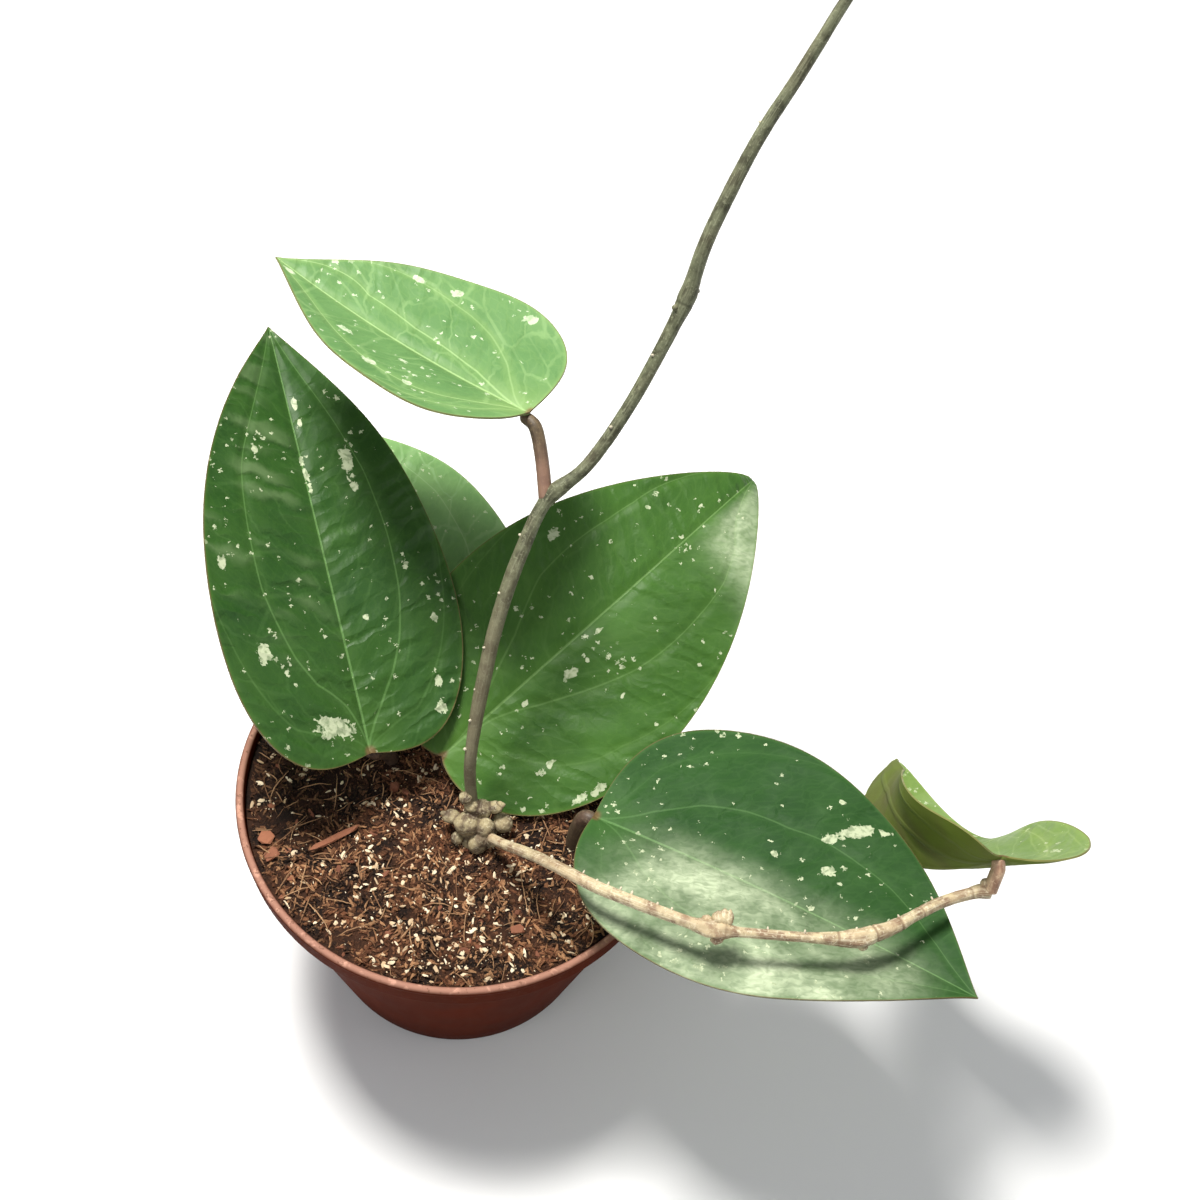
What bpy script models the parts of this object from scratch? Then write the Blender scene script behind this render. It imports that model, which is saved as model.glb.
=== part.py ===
"""A young hoya in a round plastic nursery pot: pot, soil, crown, two vines and six leaves.

The pot stands on its foot at the origin, X runs to the right and Y away from the front.
"""

import math
import random
from dataclasses import dataclass

import bmesh
import bpy
from mathutils import Vector

MM = 0.001
GAP = 0.3 * MM

# Pot: a 12 cm nursery pot, moulded with a rolled lip and a straight collar
POT_HEIGHT = 84 * MM
RIM_RADIUS = 60 * MM
LIP_WIDTH = 2.2 * MM
COLLAR_DROP = 8.4 * MM
COLLAR_STEP = 1.6 * MM
BASE_RADIUS = 40.6 * MM
WALL = 1.3 * MM
FLOOR = 1.7 * MM
FOOT_CHAMFER = 1.2 * MM
TURN_STEPS = 48
DRAIN_HOLES = 8
DRAIN_RADIUS = 3.5 * MM
DRAIN_RING = 29 * MM

# Soil: nearly level with the lip, lumpy with bark
SOIL_LEVEL = 80 * MM
SOIL_RINGS = 15
SOIL_LUMPS = 170
SOIL_LUMP_SPREAD = (1.8 * MM, 4.2 * MM)
SOIL_LUMP_HEIGHT = (-1.1 * MM, 1.6 * MM)
SOIL_RELIEF_LIMIT = 1.5 * MM
SOIL_SEED = 11

# Crown: the knobbly rootstock that both vines grow from
CROWN_AT = (6.4 * MM, -14.4 * MM)
CROWN_TOP = 86.5 * MM
CROWN_ROOT = 66 * MM
CROWN_RADIUS = 6 * MM
CROWN_KNOBS = 8
CROWN_SEED = 4

# Vines: share of the stem's length and radius there in millimetres, with the swollen nodes
TALL_RADII = (
    (0, 1.5), (0.1, 1.6), (0.16, 1.87), (0.3, 1.87), (0.36, 1.8), (0.387, 2.3), (0.42, 1.6), (0.5, 1.6),
    (0.56, 1.65), (0.6, 1.9), (0.62, 2.2), (0.65, 1.75), (0.72, 1.65), (0.8, 1.5), (0.9, 1.3), (1, 1.2),
)
TRAIL_RADII = (
    (0, 1.3), (0.1, 1.4), (0.25, 1.5), (0.42, 1.5), (0.47, 1.45), (0.5, 2.3), (0.53, 2.3), (0.555, 1.2),
    (0.66, 1.2), (0.7, 1.4), (0.74, 2.25), (0.775, 2.2), (0.81, 1.65), (0.85, 1.42), (0.93, 1.42), (1, 1.6),
)
VINE_SIDES = 3
VINE_POINTS = 46
TRAIL_POINTS = 38

# Leaves
BLADE_THICKNESS = 1.0 * MM
BLADE_ROWS = 18
BLADE_COLUMNS = 10
ROW_CROWDING = 0.6
MARGIN_RIPPLE = 0.5 * MM
RIPPLE_WAVES = 2.6
SPINE_STEPS = 48

# Petioles: share of the length and thickness there, and their depth under the upper face, in radii
PETIOLE_TAPER = ((0, 1.05), (0.25, 0.97), (0.8, 0.95), (0.9, 0.75), (1, 0.25))
PETIOLE_POINTS = 13
UNDER_BASE = 1.05
UNDER_MIDRIB = 0.5

# Routes, in millimetres: points that each stem passes through
TALL_ROUTE = (
    (5.2, -11, 84.4), (3.4, -8.2, 94), (2.7, -5.5, 104.9), (3.1, 1, 116.1), (4, 7, 125.6),
    (4.9, 12.4, 133.3), (6.6, 19.4, 141.9), (9.4, 27.9, 151), (13.7, 37.8, 159.4), (22.3, 43.8, 167),
    (29.9, 51.9, 179), (35.8, 60.1, 191.4), (40.3, 67.1, 203.2), (42.5, 72.1, 214.3), (45.9, 78, 224.2),
    (51, 85.1, 236.6), (56.9, 91.2, 247.9), (61, 95.2, 256.4), (64.7, 98.7, 264.2), (69.9, 103.2, 273.7),
    (75.9, 107.8, 283.7),
)
TRAIL_ROUTE = (
    (10.4, -17, 86), (14.5, -21, 91.2), (20.4, -26.1, 98.5), (27.1, -31.9, 105.6), (33.4, -36.7, 110.4),
    (39.5, -40.3, 113.2), (51.4, -44.6, 115.5), (63.3, -48.1, 116.9), (67.8, -48.4, 116.9),
    (77.3, -48.3, 117.5), (86.7, -47.7, 117.6), (98.4, -46.3, 117.2), (105.1, -43.6, 116.7),
    (110.4, -40.3, 116.2), (120.2, -33.3, 115.7), (129.1, -29, 115.5), (132.7, -28.4, 115.7),
)


@dataclass(frozen=True)
class Leaf:
    """One blade and its petiole. Lengths in millimetres, angles in degrees.

    A tuple of angles holds values at the base, on the way and at the tip, which blend into each other.
    """

    base: tuple  # where the petiole meets the blade
    heading: float  # plan direction of the midrib, from +X towards +Y
    rise: float  # slope of the midrib at the base
    roll: float  # turn about the midrib, which lowers the right half
    length: float
    right: float  # half widths at the widest place
    left: float
    arch: tuple  # how far the midrib bends down over its length
    sweep: tuple  # how far it bends to the right
    left_fold: tuple  # angles at which the halves leave the midrib
    right_fold: tuple
    blunt: float  # power of the outline at the base
    point: float  # power of the outline at the tip
    shoulder: float  # how far the halves reach back past the base
    petiole: tuple  # route from its foot to just before the blade
    petiole_radius: float = 2.0
    grip: float = 0.07  # share of the midrib that the petiole carries on under
    curl: float = 0  # turn of the right half towards its margin
    twist: tuple = (0,)  # turn about the midrib from base to tip
    hook: float = 0  # extra bend at the very tip


LEAVES = {
    "leaf_left": Leaf(
        base=(-23.4, -4.5, 99.7), heading=115.5, rise=31.6, roll=17.9, length=120.6, right=32.7, left=35,
        arch=(14.3,), sweep=(5.6,), left_fold=(9.7,), right_fold=(8.6,), blunt=0.85, point=1.1, shoulder=0.36,
        petiole=((-20, 7, 69), (-20.5, 6, 79), (-21.5, 3, 88), (-23, -2, 96)),
    ),
    "leaf_centre": Leaf(
        base=(-6.3, 3.5, 89.3), heading=46.1, rise=20.8, roll=21.9, length=129.4, right=39.2, left=36,
        arch=(14.8,), sweep=(-1.2,), left_fold=(2.8,), right_fold=(2.2,), blunt=1.21, point=1.52,
        shoulder=0.39, hook=94, petiole=((0, 5, 69), (-0.6, 4.6, 77), (-2.4, 4.1, 82), (-4.4, 3.6, 85.6)),
    ),
    "leaf_front": Leaf(
        base=(36, -11.6, 96), heading=-19.2, rise=5, roll=-10, length=104.3, right=34.2, left=41.5,
        arch=(-3.6,), sweep=(10,), left_fold=(12,), right_fold=(11.5,), blunt=0.84, point=1.13, shoulder=0.27,
        curl=-20, petiole=((31.5, -12.5, 69), (31.6, -12.4, 80), (32.2, -11.6, 88), (34, -11.2, 93.6)),
    ),
    "leaf_upper": Leaf(
        base=(6.8, 52.5, 174), heading=151.4, rise=-7, roll=3.7, length=78.8, right=30.7, left=29.2,
        arch=(-24.4,), sweep=(-5.9,), left_fold=(26,), right_fold=(5.6,), blunt=0.86, point=1.18,
        shoulder=0.31, petiole_radius=1.7,
        petiole=((13.4, 38.2, 159.8), (13, 42, 163.4), (12, 46.5, 168), (9.6, 50.3, 172)),
    ),
    "leaf_far": Leaf(
        base=(133.5, -22.7, 124.2), heading=156.1, rise=-63.8, roll=77.2, length=92.7, right=37.6, left=22.8,
        arch=(3.2, -114.5, -189.8, -111.6), sweep=(-46.6, -0.8), twist=(-6.8, 216.9, -106.5),
        left_fold=(-32.4, 30.7, 51.5, 37.7), right_fold=(12, 53.1, 74.2, 90.7), blunt=0.72, point=0.82,
        shoulder=0.52, grip=0.01, petiole_radius=1.75,
        petiole=((132.6, -28.2, 116), (132.9, -26.6, 118.6), (133.2, -24.9, 121.2)),
    ),
    "leaf_rear": Leaf(
        base=(-7, 33, 86), heading=122, rise=33.6, roll=17.5, length=82.6, right=32.4, left=33,
        arch=(31.5,), sweep=(0,), left_fold=(6,), right_fold=(4.5,), blunt=0.82, point=0.95, shoulder=0.34,
        petiole=((-4, 28, 69), (-4.2, 28.6, 77), (-5.2, 31, 83)),
    ),
}

# Finishes: base colour, roughness
FINISHES = {
    "terracotta_plastic": ((0.33, 0.09, 0.05), 0.45),
    "bark_soil": ((0.09, 0.035, 0.02), 0.95),
    "woody_crown": ((0.24, 0.18, 0.11), 0.85),
    "grey_vine": ((0.17, 0.16, 0.12), 0.7),
    "tan_vine": ((0.35, 0.27, 0.16), 0.7),
    "dark_leaf": ((0.03, 0.12, 0.03), 0.4),
    "mid_leaf": ((0.06, 0.17, 0.03), 0.4),
    "pale_leaf": ((0.15, 0.33, 0.08), 0.4),
}


def clear_scene():
    """Remove what the scene holds at the start."""
    for obj in list(bpy.data.objects):
        bpy.data.objects.remove(obj, do_unlink=True)


def collection(name):
    """Make a collection in the scene."""
    group = bpy.data.collections.new(name)
    bpy.context.scene.collection.children.link(group)
    return group


def finish(name):
    """Give the material of this name, made once."""
    if name in bpy.data.materials:
        return bpy.data.materials[name]
    colour, roughness = FINISHES[name]
    material = bpy.data.materials.new(name)
    material.use_nodes = True
    shader = material.node_tree.nodes["Principled BSDF"]
    shader.inputs["Base Color"].default_value = (*colour, 1)
    shader.inputs["Roughness"].default_value = roughness
    shader.inputs["Metallic"].default_value = 0
    return material


def add_object(name, data, group, material=None):
    """Link a mesh or curve to a collection as an object."""
    obj = bpy.data.objects.new(name, data)
    group.objects.link(obj)
    if material:
        data.materials.append(finish(material))
    return obj


def mesh_from(bm, name):
    """Turn a bmesh into a mesh and free it."""
    mesh = bpy.data.meshes.new(name)
    bm.to_mesh(mesh)
    bm.free()
    return mesh


def bake(obj):
    """Replace an object's mesh or curve by what its modifiers make of it."""
    group = obj.users_collection[0]
    graph = bpy.context.evaluated_depsgraph_get()
    mesh = bpy.data.meshes.new_from_object(obj.evaluated_get(graph))
    name, place = obj.name, obj.matrix_world.copy()
    bpy.data.objects.remove(obj, do_unlink=True)
    baked = bpy.data.objects.new(name, mesh)
    baked.matrix_world = place
    group.objects.link(baked)
    return baked


def weld(obj):
    """Close the loose caps and seams of an object's mesh."""
    bm = bmesh.new()
    bm.from_mesh(obj.data)
    bmesh.ops.remove_doubles(bm, verts=bm.verts, dist=0.01 * MM)
    bm.to_mesh(obj.data)
    bm.free()
    return obj


def as_guide(obj):
    """Mark an object as a cutter that isn't part of the plant."""
    obj.hide_render = True
    obj.display_type = "WIRE"
    return obj


def boolean(obj, other, operation):
    """Cut an object with another, or join the other to it, and bake the result."""
    step = obj.modifiers.new(operation.lower(), "BOOLEAN")
    step.operation = operation
    step.solver = "EXACT"
    step.object = other
    baked = bake(obj)
    bpy.data.objects.remove(other, do_unlink=True)
    return baked


def turned(name, profile, group, material=None):
    """Turn a profile of radius and height pairs about the Z axis."""
    bm = bmesh.new()
    verts = [bm.verts.new((radius, 0, height)) for radius, height in profile]
    for first, second in zip(verts, verts[1:]):
        bm.edges.new((first, second))
    obj = add_object(name, mesh_from(bm, name), group, material)
    screw = obj.modifiers.new("turn", "SCREW")
    screw.axis = "Z"
    screw.steps = screw.render_steps = TURN_STEPS
    screw.use_merge_vertices = True
    screw.merge_threshold = 0.01 * MM
    return weld(bake(obj))


def arc(centre, radius, start, end, count):
    """Points of an arc in the profile's plane, angles in degrees."""
    angles = [math.radians(start + (end - start) * i / count) for i in range(count + 1)]
    return [(centre[0] + radius * math.cos(a), centre[1] + radius * math.sin(a)) for a in angles]


def collar_foot():
    """Height at which the collar steps in to the tapering body."""
    return POT_HEIGHT - COLLAR_DROP


def body_radius(height):
    """Outer radius of the tapering body."""
    top = RIM_RADIUS - LIP_WIDTH / 2 - COLLAR_STEP
    return BASE_RADIUS + (top - BASE_RADIUS) * height / collar_foot()


def build_pot(group, tools):
    """The pot with its lip, collar, taper and drain holes."""
    bead = LIP_WIDTH / 2
    lip = arc((RIM_RADIUS - bead, POT_HEIGHT - bead), bead, 180, 0, 6)
    collar_outer = RIM_RADIUS - bead / 2
    collar_inner = RIM_RADIUS - LIP_WIDTH
    foot = collar_foot()
    outline = [(0, FLOOR), (body_radius(FLOOR) - WALL, FLOOR)]
    outline += [(body_radius(foot - WALL) - WALL, foot - WALL), (collar_inner, foot + WALL)]
    outline += lip
    outline += [(RIM_RADIUS, POT_HEIGHT - 2 * bead), (collar_outer, POT_HEIGHT - 2.6 * bead)]
    outline += [(collar_outer, foot + 0.5 * WALL), (collar_outer - 0.4 * WALL, foot), (body_radius(foot), foot)]
    outline += [(body_radius(FOOT_CHAMFER), FOOT_CHAMFER), (BASE_RADIUS - FOOT_CHAMFER, 0), (0, 0)]
    pot = turned("pot", outline, group, "terracotta_plastic")
    bm = bmesh.new()
    for i in range(DRAIN_HOLES):
        angle = 2 * math.pi * i / DRAIN_HOLES
        drilled = bmesh.ops.create_cone(
            bm, cap_ends=True, segments=12, radius1=DRAIN_RADIUS, radius2=DRAIN_RADIUS, depth=4 * FLOOR
        )
        place = (DRAIN_RING * math.cos(angle), DRAIN_RING * math.sin(angle), FLOOR / 2)
        bmesh.ops.translate(bm, verts=drilled["verts"], vec=place)
    cutter = as_guide(add_object("drain_cutter", mesh_from(bm, "drain_cutter"), tools))
    return boolean(pot, cutter, "DIFFERENCE")


def soil_lumps():
    """Seeded lumps and dips of the soil's surface: x, y, spread and height."""
    draw = random.Random(SOIL_SEED)
    lumps = []
    for _ in range(SOIL_LUMPS):
        angle = draw.uniform(0, 2 * math.pi)
        reach = (RIM_RADIUS - 6 * MM) * math.sqrt(draw.random())
        spread = draw.uniform(*SOIL_LUMP_SPREAD)
        height = draw.uniform(*SOIL_LUMP_HEIGHT)
        lumps.append((reach * math.cos(angle), reach * math.sin(angle), spread, height))
    return lumps


def relief(x, y, lumps):
    """Height of the soil's surface above its level at a place."""
    total = sum(h * math.exp(-((x - lx) ** 2 + (y - ly) ** 2) / s**2) for lx, ly, s, h in lumps)
    return max(-2 * SOIL_RELIEF_LIMIT, min(SOIL_RELIEF_LIMIT, total))


def build_soil(group):
    """The filling of the pot, with a lumpy top."""
    foot = collar_foot()
    edge = RIM_RADIUS - LIP_WIDTH - GAP
    outline = [(edge * i / SOIL_RINGS, SOIL_LEVEL) for i in range(SOIL_RINGS + 1)]
    outline += [(edge, foot + WALL + GAP), (body_radius(foot - WALL) - WALL - 2 * GAP, foot - WALL)]
    outline += [(body_radius(FLOOR) - WALL - 2 * GAP, FLOOR + GAP), (0, FLOOR + GAP)]
    soil = turned("soil", outline, group)
    lumps = soil_lumps()
    for vert in soil.data.vertices:
        if vert.co.z > SOIL_LEVEL - GAP:
            vert.co.z += relief(vert.co.x, vert.co.y, lumps)
    soil.data.materials.append(finish("bark_soil"))
    return soil


def smooth_route(points, count):
    """Evenly spaced points of a smooth curve through the given points, in metres."""
    knots = [Vector(p) * MM for p in points]
    knots = [2 * knots[0] - knots[1]] + knots + [2 * knots[-1] - knots[-2]]
    fine = []
    for a, b, c, d in zip(knots, knots[1:], knots[2:], knots[3:]):
        for step in range(12):
            t = step / 12
            fine.append(
                0.5 * (2 * b + (c - a) * t + (2 * a - 5 * b + 4 * c - d) * t**2 + (3 * b - a - 3 * c + d) * t**3)
            )
    fine.append(knots[-2])
    travelled = [0]
    for first, second in zip(fine, fine[1:]):
        travelled.append(travelled[-1] + (second - first).length)
    route, k = [], 0
    for i in range(count):
        want = travelled[-1] * i / (count - 1)
        while k < len(fine) - 2 and travelled[k + 1] < want:
            k += 1
        part = (want - travelled[k]) / max(travelled[k + 1] - travelled[k], 1e-9)
        route.append(fine[k].lerp(fine[k + 1], part))
    return route


def stem_radii(table, count):
    """Radius in metres at evenly spaced points of a stem, read from its table of shares and radii."""
    values, k = [], 0
    for i in range(count):
        share = i / (count - 1)
        while k < len(table) - 2 and table[k + 1][0] < share:
            k += 1
        (before, radius), (after, next_radius) = table[k : k + 2]
        values.append((radius + (next_radius - radius) * (share - before) / (after - before)) * MM)
    return values


def tube(name, route, radii, group, material=None, grow=0.0, sides=VINE_SIDES):
    """A round stem along a route, with filled ends, as a mesh. Growing it makes a cutter."""
    if grow:
        start = route[0] + (route[0] - route[1]).normalized() * grow
        end = route[-1] + (route[-1] - route[-2]).normalized() * grow
        route = [start] + route[1:-1] + [end]
    curve = bpy.data.curves.new(name, "CURVE")
    curve.dimensions = "3D"
    curve.bevel_depth = 1.0
    curve.bevel_resolution = sides - 1
    curve.use_fill_caps = True
    spline = curve.splines.new("POLY")
    spline.points.add(len(route) - 1)
    for point, place, radius in zip(spline.points, route, radii):
        point.co = (*place, 1)
        point.radius = radius + grow
    stem = weld(bake(add_object(name, curve, group)))
    if material:
        stem.data.materials.append(finish(material))
    return stem


def tall_vine(name, group, material=None, grow=0.0):
    """The vine that rises to the back right."""
    route = smooth_route(TALL_ROUTE, VINE_POINTS)
    return tube(name, route, stem_radii(TALL_RADII, VINE_POINTS), group, material, grow)


def trailing_vine(name, group, material=None, grow=0.0):
    """The vine that runs out over the rim."""
    route = smooth_route(TRAIL_ROUTE, TRAIL_POINTS)
    return tube(name, route, stem_radii(TRAIL_RADII, TRAIL_POINTS), group, material, grow)


def crown_lumps():
    """Balls of the crown: centre, radius and flattening, by a seeded rule."""
    draw = random.Random(CROWN_SEED)
    x, y = CROWN_AT
    lumps = [(Vector((x, y, CROWN_TOP - 2.5 * MM)), CROWN_RADIUS, 0.8)]
    lumps.append((Vector(TALL_ROUTE[0]) * MM + Vector((0, 0, 1.5 * MM)), 4.3 * MM, 1))
    lumps.append((Vector(TRAIL_ROUTE[0]) * MM, 4.1 * MM, 1))
    for i in range(CROWN_KNOBS):
        angle = 2 * math.pi * (i + draw.uniform(-0.25, 0.25)) / CROWN_KNOBS
        reach = CROWN_RADIUS * draw.uniform(0.85, 1.1)
        height = SOIL_LEVEL + draw.uniform(2, 6) * MM
        place = Vector((x + reach * math.cos(angle), y + reach * math.sin(angle), height))
        lumps.append((place, draw.uniform(2.3, 3.4) * MM, draw.uniform(0.8, 1.2)))
    return lumps


def crown_solid(name, group, tools, material=None, grow=0.0):
    """The rootstock: a root column, a burl and its knobs, joined as one body."""
    bm = bmesh.new()
    depth = CROWN_TOP - 4 * MM - CROWN_ROOT + grow
    column = bmesh.ops.create_cone(
        bm, cap_ends=True, segments=14, radius1=4.2 * MM + grow, radius2=5.8 * MM + grow, depth=depth
    )
    bmesh.ops.translate(bm, verts=column["verts"], vec=(*CROWN_AT, CROWN_ROOT - grow + depth / 2))
    crown = add_object(name, mesh_from(bm, name), group)
    for centre, radius, flat in crown_lumps():
        bm = bmesh.new()
        ball = bmesh.ops.create_icosphere(bm, subdivisions=2, radius=radius + grow)
        bmesh.ops.scale(bm, verts=ball["verts"], vec=(1, 1, flat))
        bmesh.ops.translate(bm, verts=ball["verts"], vec=centre)
        knob = as_guide(add_object("knob", mesh_from(bm, "knob"), tools))
        crown = boolean(crown, knob, "UNION")
    if material:
        crown.data.materials.clear()
        crown.data.materials.append(finish(material))
    return crown


def blended(values, share):
    """Value at a share of the length, from values at the base, on the way and at the tip."""
    order = len(values) - 1
    return sum(v * math.comb(order, k) * share**k * (1 - share) ** (order - k) for k, v in enumerate(values))


def spine(leaf):
    """Points and frames along a leaf's midrib, from base to tip."""
    heading, rise, roll = (math.radians(a) for a in (leaf.heading, leaf.rise, leaf.roll))
    along = Vector((math.cos(rise) * math.cos(heading), math.cos(rise) * math.sin(heading), math.sin(rise)))
    level = Vector((-math.sin(rise) * math.cos(heading), -math.sin(rise) * math.sin(heading), math.cos(rise)))
    side = along.cross(level)
    up = level * math.cos(roll) + side * math.sin(roll)
    side = along.cross(up)
    place = Vector(leaf.base)
    frames = [(place.copy(), along, side, up)]
    for i in range(SPINE_STEPS):
        share = (i + 0.5) / SPINE_STEPS
        place = place + along * leaf.length / SPINE_STEPS
        bend = math.radians(blended(leaf.arch, share) + 12 * leaf.hook * share**11) / SPINE_STEPS
        sway = math.radians(blended(leaf.sweep, share)) / SPINE_STEPS
        turn = math.radians(blended(leaf.twist, share)) / SPINE_STEPS
        ahead = (along - up * bend + side * sway).normalized()
        up = up + side * turn
        up = (up - ahead * up.dot(ahead)).normalized()
        along, side = ahead, ahead.cross(up)
        frames.append((place.copy(), along, side, up))
    return frames


def on_spine(frames, share):
    """Frame at a share of the midrib's length, on in a straight line before its start."""
    at = min(max(share, 0), 1) * SPINE_STEPS
    k = min(int(at), SPINE_STEPS - 1)
    place, along, side, up = (a.lerp(b, at - k) for a, b in zip(frames[k], frames[k + 1]))
    if share < 0:
        length = (frames[1][0] - frames[0][0]).length * SPINE_STEPS
        place = place + along * share * length
    return place, along, side, up


def outline_width(leaf, share):
    """Share of the full half width at a place along the blade."""
    widest = leaf.blunt / (leaf.blunt + leaf.point)
    peak = widest**leaf.blunt * (1 - widest) ** leaf.point
    return share**leaf.blunt * (1 - share) ** leaf.point / peak


def blade_point(leaf, frames, share, across):
    """Point of the upper face, across from -1 at the left margin to 1 at the right one."""
    back = leaf.shoulder * abs(across) ** 1.6 * 4 * share * (1 - share) ** 3
    place, _, side, up = on_spine(frames, share - back)
    hand = 1 if across > 0 else 0
    half = leaf.right if hand else leaf.left
    fold = math.radians(blended(leaf.right_fold if hand else leaf.left_fold, share))
    reach = abs(across) * half * outline_width(leaf, share)
    bend = (math.radians(leaf.curl) if hand else 0) / leaf.right
    out, lift = reach * math.cos(fold), reach * math.sin(fold)
    if bend:
        out = (math.sin(fold + bend * reach) - math.sin(fold)) / bend
        lift = (math.cos(fold) - math.cos(fold + bend * reach)) / bend
    wave = MARGIN_RIPPLE / MM * abs(across) ** 3 * math.sin(2 * math.pi * (RIPPLE_WAVES * share + 0.3 * hand))
    lift += wave * 4 * share * (1 - share)
    return place + side * math.copysign(out, across) + up * lift


def build_blade(name, leaf, frames, group):
    """The blade: a grid bent to the leaf's surface, with a thickness below it."""
    bm = bmesh.new()
    bmesh.ops.create_grid(bm, x_segments=BLADE_ROWS, y_segments=BLADE_COLUMNS, size=1)
    for vert in bm.verts:
        even = (vert.co.x + 1) / 2
        share = ROW_CROWDING * (0.5 - 0.5 * math.cos(math.pi * even)) + (1 - ROW_CROWDING) * even
        vert.co = blade_point(leaf, frames, min(max(share, 0), 1), -vert.co.y) * MM
    bmesh.ops.remove_doubles(bm, verts=bm.verts, dist=0.05 * MM)
    bmesh.ops.triangulate(bm, faces=bm.faces)
    blade = add_object(name, mesh_from(bm, name), group)
    shell = blade.modifiers.new("thickness", "SOLIDIFY")
    shell.thickness = BLADE_THICKNESS
    shell.offset = -1
    return bake(blade)


def build_leaf(name, leaf, material, group, tools):
    """One leaf: its blade and the petiole that carries on under the midrib, as one body."""
    frames = spine(leaf)
    blade = build_blade(name, leaf, frames, group)
    start, _, _, up = on_spine(frames, 0.015)
    end, _, _, up_end = on_spine(frames, leaf.grip)
    radius = leaf.petiole_radius
    points = list(leaf.petiole) + [start - up * UNDER_BASE * radius, end - up_end * UNDER_MIDRIB * radius]
    route = smooth_route(points, PETIOLE_POINTS)
    radii = stem_radii(tuple((share, factor * radius) for share, factor in PETIOLE_TAPER), PETIOLE_POINTS)
    petiole = as_guide(tube("petiole_of_" + name, route, radii, tools))
    whole = boolean(blade, petiole, "UNION")
    whole.data.materials.clear()
    whole.data.materials.append(finish(material))
    return whole


def petiole_hole(leaf, tools):
    """Cutter for the hole in the soil that a petiole stands in."""
    route = smooth_route(leaf.petiole, 8)
    radii = [leaf.petiole_radius * MM] * 8
    return as_guide(tube("petiole_hole", route, radii, tools, grow=GAP * 1.5))


def shade(obj):
    """Shade a rounded piece smooth, with its edges kept."""
    obj.data.shade_smooth()
    obj.data.set_sharp_from_angle(angle=math.radians(40))


def main():
    """Build every piece in order, with the cuts that keep them clear of each other."""
    clear_scene()
    plant = collection("potted_hoya")
    tools = collection("cutters")
    build_pot(plant, tools)
    soil = build_soil(plant)
    crown = crown_solid("crown", plant, tools, "woody_crown")
    crown = boolean(crown, as_guide(tall_vine("tall_socket", tools, grow=GAP)), "DIFFERENCE")
    crown = boolean(crown, as_guide(trailing_vine("trail_socket", tools, grow=GAP)), "DIFFERENCE")
    tall_vine("tall_vine", plant, "grey_vine")
    trailing_vine("trailing_vine", plant, "tan_vine")
    soil = boolean(soil, as_guide(crown_solid("crown_hole", tools, tools, grow=GAP)), "DIFFERENCE")
    shades = {"leaf_left": "dark_leaf", "leaf_front": "dark_leaf", "leaf_centre": "mid_leaf"}
    for name, leaf in LEAVES.items():
        whole = build_leaf(name, leaf, shades.get(name, "pale_leaf"), plant, tools)
        if name == "leaf_upper":
            boolean(whole, as_guide(tall_vine("node_cutter", tools, grow=GAP)), "DIFFERENCE")
        elif name == "leaf_far":
            boolean(whole, as_guide(trailing_vine("node_cutter", tools, grow=GAP)), "DIFFERENCE")
        else:
            soil = boolean(soil, petiole_hole(leaf, tools), "DIFFERENCE")
    for obj in plant.objects:
        shade(obj)


main()
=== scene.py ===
"""Looks of the young potted hoya: pot, soil, crown, vines and leaves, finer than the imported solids.

The foot of the pot is centred on the origin, X runs to the right, Y away from the front and Z up.
Lengths are in metres, and the forms of leaves and stems are in millimetres where a comment says so.
"""

import logging
import math
import random
from collections.abc import Callable, Sequence
from dataclasses import dataclass, field
from enum import Enum

import bpy
from mathutils import Matrix, Vector, noise


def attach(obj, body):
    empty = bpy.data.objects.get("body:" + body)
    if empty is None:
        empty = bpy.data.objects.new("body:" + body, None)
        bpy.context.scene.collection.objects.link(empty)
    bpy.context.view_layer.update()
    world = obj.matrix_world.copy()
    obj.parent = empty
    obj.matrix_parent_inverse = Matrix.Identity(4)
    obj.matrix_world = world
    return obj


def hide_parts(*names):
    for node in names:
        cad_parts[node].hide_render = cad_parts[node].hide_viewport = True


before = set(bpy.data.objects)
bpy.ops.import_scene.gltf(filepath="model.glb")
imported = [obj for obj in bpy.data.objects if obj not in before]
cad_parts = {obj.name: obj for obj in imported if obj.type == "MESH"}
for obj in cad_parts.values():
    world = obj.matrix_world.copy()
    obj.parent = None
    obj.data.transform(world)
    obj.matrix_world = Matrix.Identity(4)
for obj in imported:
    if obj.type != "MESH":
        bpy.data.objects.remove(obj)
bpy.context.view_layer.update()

MM = 0.001
Colour = tuple[float, float, float]
Point = tuple[float, float, float]
Range = tuple[float, float]
Track = tuple[tuple[float, float], ...]
Blend = tuple[float, ...]
Piece = bpy.types.Object
Material = bpy.types.Material
Socket = bpy.types.NodeSocket

log = logging.getLogger("potted_hoya")


class Slot(Enum):
    """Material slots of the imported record."""

    POT = "terracotta_plastic"
    SOIL = "bark_soil"
    CROWN = "woody_crown"
    TALL_VINE = "grey_vine"
    TRAILING_VINE = "tan_vine"
    DARK_LEAF = "dark_leaf"
    MID_LEAF = "mid_leaf"
    PALE_LEAF = "pale_leaf"


# Shader maths


@dataclass(frozen=True)
class Cloud:
    """One kind of noise: lumps in one unit of length, how many finer layers, how far it is distorted."""

    scale: float
    detail: float = 2
    twist: float = 0


def two_term(operation: str, turned: bool = False) -> Callable[["Value", "Value | float"], "Value"]:
    """A method of Value that adds one Math node of it and another term, in turned order if asked."""

    def method(self: "Value", other: "Value | float") -> "Value":
        """Result of the node."""
        return self.maths(operation, other, self) if turned else self.maths(operation, self, other)

    return method


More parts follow.
